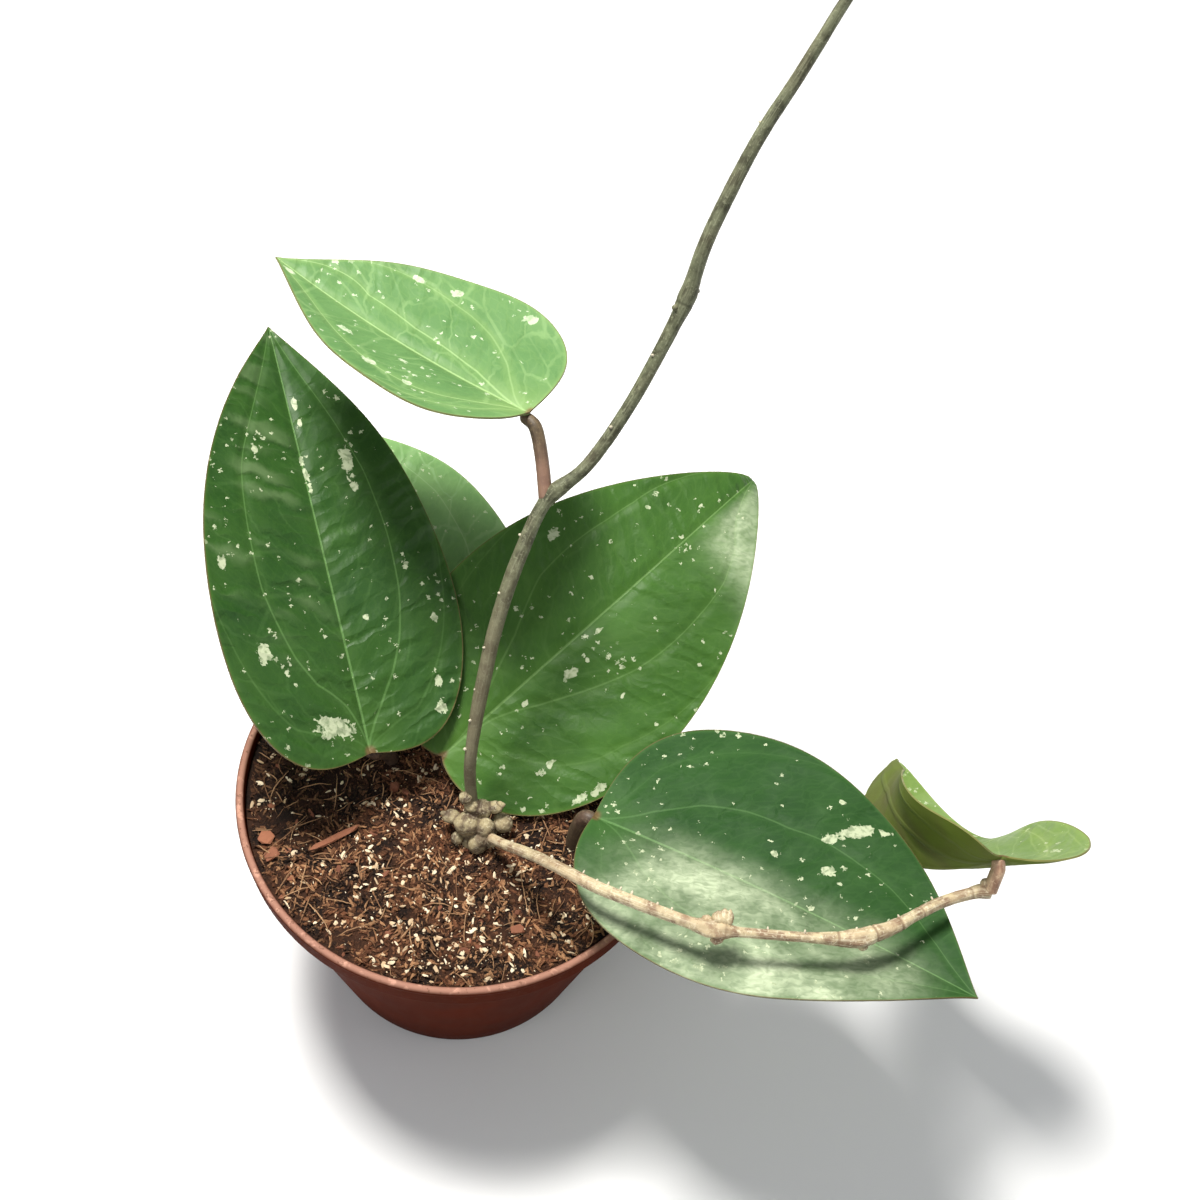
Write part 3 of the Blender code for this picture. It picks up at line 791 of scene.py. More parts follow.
def sheet_of(name: str, across: int, along: int) -> Piece:
    """A flat grid with corners at -1 and 1 to be bent into a form, its faces counted along Y and X."""
    deselect_all()
    bpy.ops.mesh.primitive_grid_add(x_subdivisions=along, y_subdivisions=across, size=2)
    piece = bpy.context.object
    piece.name = piece.data.name = name
    return piece


def smooth_route(points: Sequence[Point], count: int) -> list[Vector]:
    """Evenly spaced points of a smooth curve.

    Args:
        points: places that it passes through, in millimetres.
        count: how many points to give.

    Returns:
        The points, in metres.
    """
    knots = [Vector(p) * MM for p in points]
    knots = [2 * knots[0] - knots[1]] + knots + [2 * knots[-1] - knots[-2]]
    fine = []
    for a, b, c, d in zip(knots, knots[1:], knots[2:], knots[3:]):
        for step in range(ROUTE_STEPS):
            t = step / ROUTE_STEPS
            start = 2 * b + (c - a) * t
            fine.append(0.5 * (start + (2 * a - 5 * b + 4 * c - d) * t**2 + (3 * b - a - 3 * c + d) * t**3))
    fine.append(knots[-2])
    travelled = [0.0]
    for first, second in zip(fine, fine[1:]):
        travelled.append(travelled[-1] + (second - first).length)
    route, k = [], 0
    for i in range(count):
        want = travelled[-1] * i / (count - 1)
        while k < len(fine) - 2 and travelled[k + 1] < want:
            k += 1
        part = (want - travelled[k]) / max(travelled[k + 1] - travelled[k], 1e-9)
        route.append(fine[k].lerp(fine[k + 1], part))
    return route


def draw_out(extrude: Callable[..., object], start: Range, rings: Sequence[Range]) -> None:
    """Extrude what is selected round the Z axis from its start to each ring of radius and height."""
    radius, height = start
    for next_radius, next_height in rings:
        extrude(TRANSFORM_OT_translate={"value": (0, 0, next_height - height)})
        ratio = next_radius / radius
        bpy.ops.transform.resize(value=(ratio, ratio, 1), center_override=(0, 0, next_height))
        radius, height = next_radius, next_height


def start_disc(name: str, sides: int, radius: float, height: float) -> Piece:
    """A flat round face, open in edit mode with all of it selected."""
    deselect_all()
    place = (0, 0, height)
    bpy.ops.mesh.primitive_circle_add(vertices=sides, radius=radius, fill_type="NGON", location=place)
    piece = bpy.context.object
    piece.name = piece.data.name = name
    activate(piece)
    bpy.ops.object.mode_set(mode="EDIT")
    bpy.ops.mesh.select_all(action="SELECT")
    return piece


def finish_faces() -> None:
    """Turn all faces outwards and leave edit mode."""
    bpy.ops.mesh.select_all(action="SELECT")
    bpy.ops.mesh.normals_make_consistent(inside=False)
    bpy.ops.object.mode_set(mode="OBJECT")


def direction(route: list[Vector], i: int) -> Vector:
    """Where a route heads at one of its points."""
    return (route[min(i + 1, len(route) - 1)] - route[max(i - 1, 0)]).normalized()


def along_track(track: Track, place: float) -> float:
    """Height of a broken line at a place, on level beyond its ends."""
    if place <= track[0][0]:
        return track[0][1]
    for (x0, y0), (x1, y1) in zip(track, track[1:]):
        if place <= x1:
            return y0 + (y1 - y0) * (place - x0) / (x1 - x0)
    return track[-1][1]


# Leaves


@dataclass(frozen=True)
class Patch:
    """A large ragged fleck: its middle as shares of the blade, half sizes in millimetres, turn in degrees."""

    along: float
    across: float
    long: float
    wide: float
    turn: float = 0


# Two side veins of an untraced blade half: share of the length, share of the half width
GENERIC_INNER: Track = (
    (0, 0), (0.05, 0.12), (0.12, 0.27), (0.2, 0.4), (0.3, 0.49), (0.45, 0.55), (0.65, 0.58), (0.8, 0.53),
    (1, 0.4),
)
GENERIC_OUTER: Track = ((0, 0.2), (0.06, 0.5), (0.15, 0.72), (0.3, 0.83), (0.45, 0.92), (0.6, 1.05), (1, 1.4))


HOOK_POWER = 11
SHOULDER_POWER = 1.6
RIPPLE_SHIFT = 0.3


def blended(values: Blend, share: float) -> float:
    """Value at a share of the length, from values at the base, on the way and at the tip."""
    order = len(values) - 1
    return sum(v * math.comb(order, k) * share**k * (1 - share) ** (order - k) for k, v in enumerate(values))


@dataclass(frozen=True)
class Blade:
    """Form of one leaf blade, as in the solids. Lengths in millimetres, angles in degrees."""

    base: Point
    heading: float
    rise: float
    roll: float
    length: float
    right: float
    left: float
    arch: Blend
    sweep: Blend
    left_fold: Blend
    right_fold: Blend
    blunt: float
    point: float
    shoulder: float
    petiole: tuple[Point, ...]
    petiole_radius: float = 2.0
    grip: float = 0.07
    curl: float = 0
    twist: Blend = (0,)
    hook: float = 0
    inner: tuple[Track, Track] = (GENERIC_INNER, GENERIC_INNER)
    outer: tuple[Track, Track] = (GENERIC_OUTER, GENERIC_OUTER)
    patches: tuple[Patch, ...] = ()
    steps: int = 48
    ripple: float = 0.5
    ripple_waves: float = 2.6

    def spine(self) -> list[tuple[Vector, Vector, Vector, Vector]]:
        """Points and frames along the midrib, from base to tip."""
        heading, rise, roll = (math.radians(a) for a in (self.heading, self.rise, self.roll))
        east, north = math.cos(heading), math.sin(heading)
        along = Vector((math.cos(rise) * east, math.cos(rise) * north, math.sin(rise)))
        level = Vector((-math.sin(rise) * east, -math.sin(rise) * north, math.cos(rise)))
        up = level * math.cos(roll) + along.cross(level) * math.sin(roll)
        side = along.cross(up)
        place = Vector(self.base)
        frames = [(place.copy(), along, side, up)]
        for i in range(self.steps):
            share = (i + 0.5) / self.steps
            place = place + along * self.length / self.steps
            hook = (HOOK_POWER + 1) * self.hook * share**HOOK_POWER
            bend = math.radians(blended(self.arch, share) + hook) / self.steps
            sway = math.radians(blended(self.sweep, share)) / self.steps
            turn = math.radians(blended(self.twist, share)) / self.steps
            ahead = (along - up * bend + side * sway).normalized()
            up = up + side * turn
            up = (up - ahead * up.dot(ahead)).normalized()
            along, side = ahead, ahead.cross(up)
            frames.append((place.copy(), along, side, up))
        return frames

    def on_spine(self, frames: list, share: float) -> tuple[Vector, Vector, Vector, Vector]:
        """Frame at a share of the midrib's length, on in a straight line before its start."""
        at = min(max(share, 0), 1) * self.steps
        k = min(int(at), self.steps - 1)
        place, along, side, up = (a.lerp(b, at - k) for a, b in zip(frames[k], frames[k + 1]))
        if share < 0:
            place = place + along * share * self.length
        return place, along, side, up

    def width(self, share: float) -> float:
        """Share of the full half width at a place along the blade."""
        widest = self.blunt / (self.blunt + self.point)
        peak = widest**self.blunt * (1 - widest) ** self.point
        return share**self.blunt * (1 - share) ** self.point / peak

    def half_width(self, share: float, hand: int) -> float:
        """Width from the midrib to a margin in millimetres: hand 0 is the left side and 1 the right."""
        return (self.left, self.right)[hand] * self.width(share)

    def shouldered(self, share: float, across: float) -> float:
        """Share of the midrib at which a point stands, further back towards the margins."""
        return share - self.shoulder * abs(across) ** SHOULDER_POWER * 4 * share * (1 - share) ** 3

    def flat(self, share: float, across: float) -> Vector:
        """A point's place on the blade laid flat: along and across the midrib, in millimetres."""
        half = self.half_width(share, int(across > 0))
        return Vector((self.shouldered(share, across) * self.length, across * half, 0))

    def at(self, frames: list, share: float, across: float) -> tuple[Vector, Vector]:
        """A point of the upper face.

        Args:
            frames: the midrib's frames.
            share: place along the blade.
            across: from -1 at the left margin to 1 at the right one.

        Returns:
            The point in millimetres and the upward direction.
        """
        place, _, side, up = self.on_spine(frames, self.shouldered(share, across))
        hand = int(across > 0)
        fold = math.radians(blended((self.left_fold, self.right_fold)[hand], share))
        reach = abs(across) * self.half_width(share, hand)
        bend = hand * math.radians(self.curl) / self.right
        out, lift = reach * math.cos(fold), reach * math.sin(fold)
        if bend:
            out = (math.sin(fold + bend * reach) - math.sin(fold)) / bend
            lift = (math.cos(fold) - math.cos(fold + bend * reach)) / bend
        wave = math.sin(2 * math.pi * (self.ripple_waves * share + RIPPLE_SHIFT * hand))
        lift += self.ripple * abs(across) ** 3 * wave * 4 * share * (1 - share)
        return place + side * math.copysign(out, across) + up * lift, up


@dataclass
class Leaf:
    """One leaf: its blade with two faces and its petiole."""

    node: str
    blade: Blade
    upper: LeafSkin
    under: LeafBack
    stalk: Bark
    slot: Slot
    rows: int = 132
    columns: int = 80
    thickness: float = 0.95 * MM
    margin_share: float = 0.45
    margin_width: float = 2.2
    groove: float = 0.28
    groove_width: float = 1.3
    side_groove_width: float = 1.1
    groove_fade: float = 0.6
    swell: float = 0.35
    swell_size: tuple[float, float] = (8.5, 15)
    broad_size: tuple[float, float] = (26, 22)
    calm_middle: float = 3
    crowding: float = 0.6
    grip_start: float = 0.015
    grip_steps: int = 4
    grip_thickness: float = 0.92
    grip_taper: float = 0.68
    bury: float = 0.72
    seed: int = 1

    def build(self) -> list[Piece]:
        """Make the blade and the petiole."""
        frames = self.blade.spine()
        return [self._blade(frames), self._petiole(frames)]

    def _relief(self, flat: Vector, inner: float, share: float) -> float:
        """Height in millimetres of the blade's soft relief at a place."""
        fade = 1 - self.groove_fade * share
        channel = -self.groove * math.exp(-((flat.y / self.groove_width) ** 2)) * fade
        channel -= 0.5 * self.groove * math.exp(-((inner / self.side_groove_width) ** 2))
        slope = flat.x - NET_SLANT * abs(flat.y)
        (soft_x, soft_y), (broad_x, broad_y) = self.swell_size, self.broad_size
        soft = noise.noise(Vector((slope / soft_x, flat.y / soft_y, self.seed * 7.3)))
        broad = noise.noise(Vector((flat.x / broad_x, flat.y / broad_y, self.seed * 3.1)))
        calm = min(1, abs(flat.y) / self.calm_middle) * min(1, 6 * share) * min(1, 8 * (1 - share))
        return channel + self.swell * (soft * 0.7 + broad) * calm

    def _blade(self, frames: list) -> Piece:
        """Bend a grid into the blade, give it thickness and dress both faces."""
        form = self.blade
        piece = sheet_of(self.node + "_blade", self.columns, self.rows)
        marks = {name: [] for name in ("along", "margin", "inner", "outer", "patch")}
        flats, plump = [], []
        for vert in piece.data.vertices:
            even = (vert.co.x + 1) / 2
            crowded = self.crowding * (0.5 - 0.5 * math.cos(math.pi * even))
            share = min(max(crowded + (1 - self.crowding) * even, 0), 1)
            across = min(max(-vert.co.y, -1), 1)
            place, up = form.at(frames, share, across)
            hand = int(across > 0)
            half = form.half_width(share, hand)
            flat = form.flat(share, across)
            inner = (abs(across) - along_track(form.inner[hand], share)) * half
            outer = (abs(across) - along_track(form.outer[hand], share)) * half
            margin = half * (1 - abs(across))
            place = place + up * self._relief(flat, inner, share) * min(1, margin / 2)
            vert.co = place * MM
            flats.append(flat)
            marks["along"].append(share)
            marks["margin"].append(margin)
            marks["inner"].append(inner)
            marks["outer"].append(outer)
            marks["patch"].append(self._patch(flat))
            inward = min(1, margin / self.margin_width)
            plump.append(self.margin_share + (1 - self.margin_share) * inward)
        for name, numbers in marks.items():
            carry(piece, name, numbers)
        carry_vectors(piece, "flat", flats)
        group = piece.vertex_groups.new(name="plump")
        for i, weight in enumerate(plump):
            group.add([i], weight, "REPLACE")
        edit(piece, lambda: bpy.ops.mesh.remove_doubles(threshold=0.03 * MM))
        for face in (self.upper, self.under):
            piece.data.materials.append(face.material())
        solid = {"thickness": self.thickness, "offset": -1, "vertex_group": "plump", "material_offset": 1}
        modify(piece, "SOLIDIFY", **solid)
        piece.vertex_groups.clear()
        smooth(piece, 60)
        place_in_frame(piece, self.node)
        return piece

    def _patch(self, flat: Vector) -> float:
        """How far a place lies inside the nearest large fleck, from 0 to 1."""
        best = 0.0
        for patch in self.blade.patches:
            away = flat - self.blade.flat(patch.along, patch.across)
            turn = math.radians(patch.turn)
            long = (away.x * math.cos(turn) + away.y * math.sin(turn)) / patch.long
            wide = (away.y * math.cos(turn) - away.x * math.sin(turn)) / patch.wide
            best = max(best, math.exp(-(long * long + wide * wide) * 0.7))
        return best

    def _grip(self) -> list[Point]:
        """The petiole's end under the midrib: shares of the blade, shares of the radius and depths."""
        form = self.blade
        if not form.grip:
            return [(self.grip_start, 0.85, 0.5 * form.petiole_radius)]
        rows = []
        for step in range(self.grip_steps):
            under = step / (self.grip_steps - 1)
            factor = self.grip_thickness - self.grip_taper * under
            share = self.grip_start + (form.grip - self.grip_start) * under
            rows.append((share, factor, factor * form.petiole_radius + self.bury))
        return rows

    def _petiole(self, frames: list) -> Piece:
        """The petiole, which carries on under the midrib for a little way."""
        form = self.blade
        radius = form.petiole_radius
        points = [Vector(p) for p in form.petiole]
        factors = [1.0] * len(points)
        for share, factor, depth in self._grip():
            place, _, _, up = form.on_spine(frames, share)
            points.append(place - up * depth)
            factors.append(factor)
        runs = [0.0]
        for a, b in zip(points, points[1:]):
            runs.append(runs[-1] + (b - a).length)
        route = tuple(tuple(p) for p in points)
        radii = tuple((run / runs[-1], factor * radius) for run, factor in zip(runs, factors))
        name = self.node + "_petiole"
        piece = Stem(name, route, radii, self.stalk, steps=60, sides=24, roughness=0.05).build()
        place_in_frame(piece, self.node)
        return piece


# Stems


@dataclass(frozen=True)
class Swelling:
    """A swollen place: share of the stem's length, extra radius and half width in millimetres, roughness."""

    share: float
    extra: float
    width: float
    rough: float = 0.0

    def bulge(self, share: float, length: float) -> float:
        """How much of it there is at a share of a stem of this length in millimetres."""
        return math.exp(-(((share - self.share) * length / self.width) ** 2))


@dataclass(frozen=True)
class Nub:
    """A root nub or bud: share of the length, angle round the stem, length and radius in millimetres."""

    share: float
    angle: float
    long: float
    radius: float


@dataclass
class Stem:
    """A round stem along a route. The route, radii and marks are in millimetres."""

    name: str
    route: tuple[Point, ...]
    radii: Track
    skin: Bark
    steps: int
    sides: int
    roughness: float
    swellings: tuple[Swelling, ...] = ()
    scars: tuple[tuple[float, float], ...] = ()
    nubs: tuple[Nub, ...] = ()
    seed: int = 3
    swelling_share: float = 0.6
    least_radius: float = 0.25
    scar_width: float = 0.35
    course_radius: float = 2.2
    tiny_nub: float = 0.6
    end_steps: tuple[Range, ...] = ((0.25, 0.16), (0.35, 0.10))

    def build(self) -> Piece:
        """Roll a grid into the stem, close its ends and add its nubs."""
        route = smooth_route(self.route, self.steps + 1)
        frames = self._frames(route)
        length = sum((b - a).length for a, b in zip(route, route[1:])) / MM
        piece = sheet_of(self.name, self.sides, self.steps)
        course, scars = [], []
        for vert in piece.data.vertices:
            share = (vert.co.x + 1) / 2
            angle = math.pi * (vert.co.y + 1)
            k = min(round(share * self.steps), self.steps)
            place, side, up = route[k], *frames[k]
            out = side * math.cos(angle) + up * math.sin(angle)
            radius, scar_and_crease_shade = self._radius(share, angle, length)
            vert.co = place + out * radius * MM
            round_x, round_z = math.cos(angle) * self.course_radius, math.sin(angle) * self.course_radius
            course.append((round_x, share * length, round_z))
            scars.append(scar_and_crease_shade)
        carry_vectors(piece, "course", course)
        carry(piece, "scar_and_crease_shade", scars)
        edit(
            piece,
            lambda: bpy.ops.mesh.remove_doubles(threshold=0.005 * MM),
            lambda: bpy.ops.mesh.fill_holes(sides=0),
            lambda: bpy.ops.mesh.select_all(action="DESELECT"),
        )
        self._round_ends(piece)
        edit(piece, lambda: bpy.ops.mesh.normals_make_consistent(inside=False))
        piece.data.materials.append(self.skin.material())
        parts = [piece]
        for nub in self.nubs:
            k = min(round(nub.share * self.steps), self.steps)
            parts.append(self._nub(nub, route[k], *frames[k], length))
        piece = join(parts)
        smooth(piece, 60)
        return piece

    def _round_ends(self, piece: Piece) -> None:
        """Turn the flat end caps into low domes."""
        for polygon in piece.data.polygons:
            polygon.select = len(polygon.vertices) > 4
        activate(piece)
        bpy.ops.object.mode_set(mode="EDIT")
        bpy.ops.mesh.select_mode(type="FACE")
        end = min(self.radii[0][1], self.radii[-1][1]) * MM
        for inward, outward in self.end_steps:
            bpy.ops.mesh.inset(thickness=inward * end, depth=outward * end, use_individual=True)
        bpy.ops.mesh.poke()
        bpy.ops.object.mode_set(mode="OBJECT")

    def _frames(self, route: list[Vector]) -> list[tuple[Vector, Vector]]:
        """Side and up directions along a route, turning as little as they can."""
        frames = []
        up = Vector((0, 0, 1))
        for i in range(len(route)):
            ahead = direction(route, i)
            side = ahead.cross(up)
            if side.length < 0.05:
                side = ahead.cross(Vector((0, 1, 0)))
            side.normalize()
            up = side.cross(ahead).normalized()
            frames.append((side, up))
        return frames

    def _radius(self, share: float, angle: float, length: float) -> tuple[float, float]:
        """Radius in millimetres and scar at a place of the stem's skin."""
        at = share * length
        radius = along_track(self.radii, share)
        x, y = math.cos(angle) * 2, math.sin(angle) * 2
        rough = self.roughness
        for swelling in self.swellings:
            bulge = swelling.bulge(share, length)
            radius += swelling.extra * self.swelling_share * bulge
            rough += swelling.rough * bulge
        radius += rough * noise.noise(Vector((x * 0.7, y * 0.7, at / 4 + self.seed)))
        radius += 0.5 * rough * noise.noise(Vector((x * 1.8, y * 1.8, at / 1.3 + self.seed * 2)))
        radius += 0.25 * self.roughness * math.sin(7 * angle + at * 0.11)
        scar_and_crease_shade = 0.0
        for place, depth in self.scars:
            near = math.exp(-(((share - place) * length / self.scar_width) ** 2))
            radius -= depth * near
            scar_and_crease_shade = max(scar_and_crease_shade, near)
        return max(radius, self.least_radius), scar_and_crease_shade

    def _nub(self, nub: Nub, place: Vector, side: Vector, up: Vector, length: float) -> Piece:
        """A small knob at a place of the stem's middle, with the stem's own length in millimetres."""
        angle = math.radians(nub.angle)
        out = side * math.cos(angle) + up * math.sin(angle)
        stem_radius = along_track(self.radii, nub.share) * MM
        for swelling in self.swellings:
            stem_radius += swelling.extra * self.swelling_share * MM * swelling.bulge(nub.share, length)
        middle = place + out * (stem_radius * 0.8 + nub.long * MM * 0.5)
        tiny = nub.radius < self.tiny_nub
        knob = ico_ball(2 if tiny else 3)
        turn = out.to_track_quat("Z", "Y").to_matrix().to_4x4()
        reach = nub.long * 0.6 + nub.radius * 0.4
        size = Matrix.Diagonal((nub.radius * MM, nub.radius * MM, reach * MM, 1))
        for vert in knob.data.vertices:
            lump = 1 + 0.18 * noise.noise(vert.co * 2.2 + Vector((nub.share * 50, 0, 0)))
            vert.co = Matrix.Translation(middle) @ turn @ size @ (vert.co * lump)
        carry_vectors(knob, "course", [tuple(v.co / MM) for v in knob.data.vertices])
        carry(knob, "scar_and_crease_shade", [-1.0 if tiny else 0.0] * len(knob.data.vertices))
        knob.data.materials.append(bpy.data.materials[self.skin.name])
        return knob


def ico_ball(subdivisions: int) -> Piece:
    """A faceted ball of radius 1 at the origin."""
    deselect_all()
    bpy.ops.mesh.primitive_ico_sphere_add(subdivisions=subdivisions, radius=1, location=(0, 0, 0))
    return bpy.context.object


def join(parts: list[Piece]) -> Piece:
    """Join pieces into the first of them, and give it back."""
    deselect_all()
    for part in parts:
        part.select_set(True)
    bpy.context.view_layer.objects.active = parts[0]
    if len(parts) > 1:
        bpy.ops.object.join()
    return parts[0]


# Pot


@dataclass
class Pot:
    """Round nursery pot with a rolled lip, a straight collar and drain holes."""

    height: float = 84 * MM
    rim_radius: float = 60 * MM
    lip_width: float = 2.2 * MM
    collar_drop: float = 8.4 * MM
    collar_step: float = 1.6 * MM
    base_radius: float = 40.6 * MM
    wall: float = 1.3 * MM
    floor: float = 1.7 * MM
    foot_chamfer: float = 1.2 * MM
    sides: int = 176
    drain_holes: int = 8
    drain_radius: float = 3.5 * MM
    drain_ring: float = 29 * MM
    finish: MouldedPlastic = field(default_factory=MouldedPlastic)

    def collar_foot(self) -> float:
        """Height at which the collar steps in to the tapering body."""
        return self.height - self.collar_drop

    def body_radius(self, height: float) -> float:
        """Outer radius of the tapering body."""
        top = self.rim_radius - self.lip_width / 2 - self.collar_step
        return self.base_radius + (top - self.base_radius) * height / self.collar_foot()

    def inner_radius(self, height: float) -> float:
        """Inner radius of the tapering body."""
        return self.body_radius(height) - self.wall

    def _profile(self) -> list[Range]:
        """Radius and height from the edge of the foot, over the lip, to the inner floor."""
        bead = self.lip_width / 2
        foot, collar = self.collar_foot(), self.rim_radius - bead / 2
        outline = [(self.base_radius - 0.35 * MM, 0.35 * MM)]
        outline += [(self.body_radius(self.foot_chamfer), self.foot_chamfer)]
        outline += [(self.body_radius(foot * i / 8), foot * i / 8) for i in range(1, 8)]
        outline += [(self.body_radius(foot - 0.5 * MM), foot - 0.5 * MM)]
        outline += [(self.body_radius(foot) + 0.15 * MM, foot - 0.1 * MM)]
        steps = ((0.5, 0.1), (0.1, 0.5), (0, 1.0))
        outline += [(collar - inward * MM, foot + up * MM) for inward, up in steps]
        outline += [(collar, self.height - 3.2 * bead), (collar + 0.1 * MM, self.height - 2.3 * bead)]
        middle = (self.rim_radius - bead, self.height - bead)
        for i in range(13):
            angle = math.radians(-25 + 205 * i / 12)
            outline.append((middle[0] + bead * math.cos(angle), middle[1] + bead * math.sin(angle)))
        outline += [(self.rim_radius - self.lip_width, foot + self.wall)]
        return outline + [(self.inner_radius(height), height) for height in (foot - self.wall, self.floor)]

    def build(self) -> Piece:
        """Draw the wall up from a disc, over the lip and down inside, and drill the drain holes."""
        radius = self.base_radius - self.foot_chamfer
        pot = start_disc("nursery_pot", self.sides, radius, 0)
        draw_out(bpy.ops.mesh.extrude_region_move, (radius, 0), self._profile())
        finish_faces()
        self._drill(pot)
        pot.data.materials.clear()
        pot.data.materials.append(self.finish.material())
        smooth(pot, 35)
        place_in_frame(pot, "pot")
        return pot

    def _drill(self, pot: Piece) -> None:
        """Cut the drain holes through the floor."""
        drills = []
        for i in range(self.drain_holes):
            angle = 2 * math.pi * i / self.drain_holes
            place = (self.drain_ring * math.cos(angle), self.drain_ring * math.sin(angle), self.floor / 2)
            size = {"vertices": 32, "radius": self.drain_radius, "depth": 4 * self.floor}
            deselect_all()
            bpy.ops.mesh.primitive_cylinder_add(location=place, **size)
            drills.append(bpy.context.object)
        drill = join(drills)
        modify(pot, "BOOLEAN", operation="DIFFERENCE", solver="EXACT", object=drill)
        bpy.data.objects.remove(drill, do_unlink=True)


# Soil


@dataclass(frozen=True)
class Scatter:
    """One kind of loose bit: finish, how many, half sizes in millimetres, how deep and how tilted it lies."""

    name: str
    finish: BarkMix | WoodChip
    count: int
    long: tuple[float, float]
    wide: tuple[float, float]
    thick: tuple[float, float]
    sink: float
    tilt: float
    seed: int
    bend: float = 0.0
    edges: float = 30
    gathered: float = 0.0


# What the soil is made of, and the loose bits that lie on it
# The filling's browns are kept very dark as painted shade in the gaps between the loose bits
FILLING = BarkMix("bark_and_coir", (0.11, 0.046, 0.020), (0.042, 0.016, 0.007), (0.008, 0.0035, 0.002))
CRUMB = BarkMix("soil_crumb", (0.24, 0.105, 0.048), (0.085, 0.033, 0.015), (0.009, 0.004, 0.0022), True)
SHRED = BarkMix("bark_shred", (0.46, 0.24, 0.115), (0.15, 0.056, 0.025), (0.011, 0.005, 0.003), True)
FLAKE = WoodChip("pale_flake", (0.90, 0.78, 0.56), (0.46, 0.30, 0.16))
COIR_FIBRE = WoodChip("coir_fibre", (0.52, 0.31, 0.16), (0.16, 0.07, 0.033))
BARK_CHIP = WoodChip("bark_chip", (0.30, 0.115, 0.06), (0.12, 0.042, 0.022), Cloud(900, 3, 0.5))
LOOSE_BITS = (
    Scatter("soil_crumbs", CRUMB, 6000, (0.4, 1.1), (0.3, 0.75), (0.25, 0.6), sink=0.1, tilt=0.9, seed=21),
    Scatter(
        "bark_shreds", SHRED, 6800, (0.8, 2.5), (0.2, 0.5), (0.15, 0.32), sink=-0.9, tilt=0.55, seed=24,
        bend=0.45, edges=20,
    ),
    Scatter(
        "pale_flakes", FLAKE, 560, (0.6, 1.5), (0.28, 0.65), (0.16, 0.34), sink=-1.5, tilt=0.6, seed=22,
        bend=0.15, gathered=0.9,
    ),
    Scatter(
        "pale_specks", FLAKE, 1300, (0.18, 0.42), (0.12, 0.26), (0.1, 0.2), sink=-1.8, tilt=0.8, seed=25,
        gathered=0.8,
    ),
    Scatter(
        "bark_chips", BARK_CHIP, 60, (0.9, 1.9), (0.5, 1.0), (0.25, 0.5), sink=-0.7, tilt=0.5, seed=23,
        bend=0.3,
    ),
    Scatter("bark_lumps", CRUMB, 260, (1.0, 2.2), (0.8, 1.5), (0.6, 1.1), sink=0.35, tilt=0.9, seed=26),
)

# Rootlets that show in the photograph: start in millimetres, heading, length in millimetres and curl
LONG_ROOTS = (
    ((-52.0, -31.5), 0.95, 17, 0.3), ((-53.0, -32.0), 0.35, 15, -0.6), ((-44.0, -20.0), 0.25, 11, 0.5),
    ((-25.0, -22.0), -2.3, 7, 0.7), ((-23.0, -24.5), -1.5, 7, 0.5), ((-42.0, -40.5), 0.5, 9, 0.1),
    ((-37.0, -49.0), 1.4, 8, -0.1), ((-29.0, -38.0), 0.05, 7, 0.0), ((-18.5, -7.5), 1.55, 7, 0.1),
    ((4.0, -33.0), 1.7, 8, 0.2),
)
# A square chip, a thinner one, a long sliver, a dry stub and a crumb of wood that show in the photograph:
# x and y in millimetres, half sizes, turn and tilt in degrees, curve and tint
KEEPSAKES = (
    (-48.2, -23.0, (2.4, 2.1, 0.45), 75, 12, 0.0, 0.95),
    (-45.6, -27.6, (2.2, 1.7, 0.5), 40, -14, 0.0, 0.6),
    (-30.2, -21.0, (7.4, 0.95, 0.5), 40, 3, 0.05, 0.9),
    (-18.0, -3.6, (1.3, 1.2, 2.1), 20, 15, 0.0, 0.4),
    (20.5, -39.0, (2.0, 1.3, 0.6), 15, -10, 0.0, 0.5),
)


class Heap:
    """Points, faces and tints of the many bits that make up one piece."""

    def __init__(self) -> None:
        """Start with nothing."""
        self.points, self.faces, self.tints = [], [], []

    def add(self, points: Sequence[Vector], faces: Sequence[tuple[int, ...]], tint: float) -> None:
        """Add one bit, whose faces count its own points."""
        first = len(self.points)
        self.points += points
        self.faces += [tuple(first + i for i in face) for face in faces]
        self.tints += [tint] * len(points)

    def build(self, name: str, finish: BarkMix | WoodChip, edges: float) -> Piece:
        """Make a dressed piece of it all, smooth up to an angle in degrees."""
        mesh = bpy.data.meshes.new(name)
        mesh.from_pydata(self.points, [], self.faces)
        piece = bpy.data.objects.new(name, mesh)
        bpy.context.scene.collection.objects.link(piece)
        carry(piece, "tint", self.tints)
        mesh.materials.append(finish.material())
        smooth(piece, edges)
        return piece


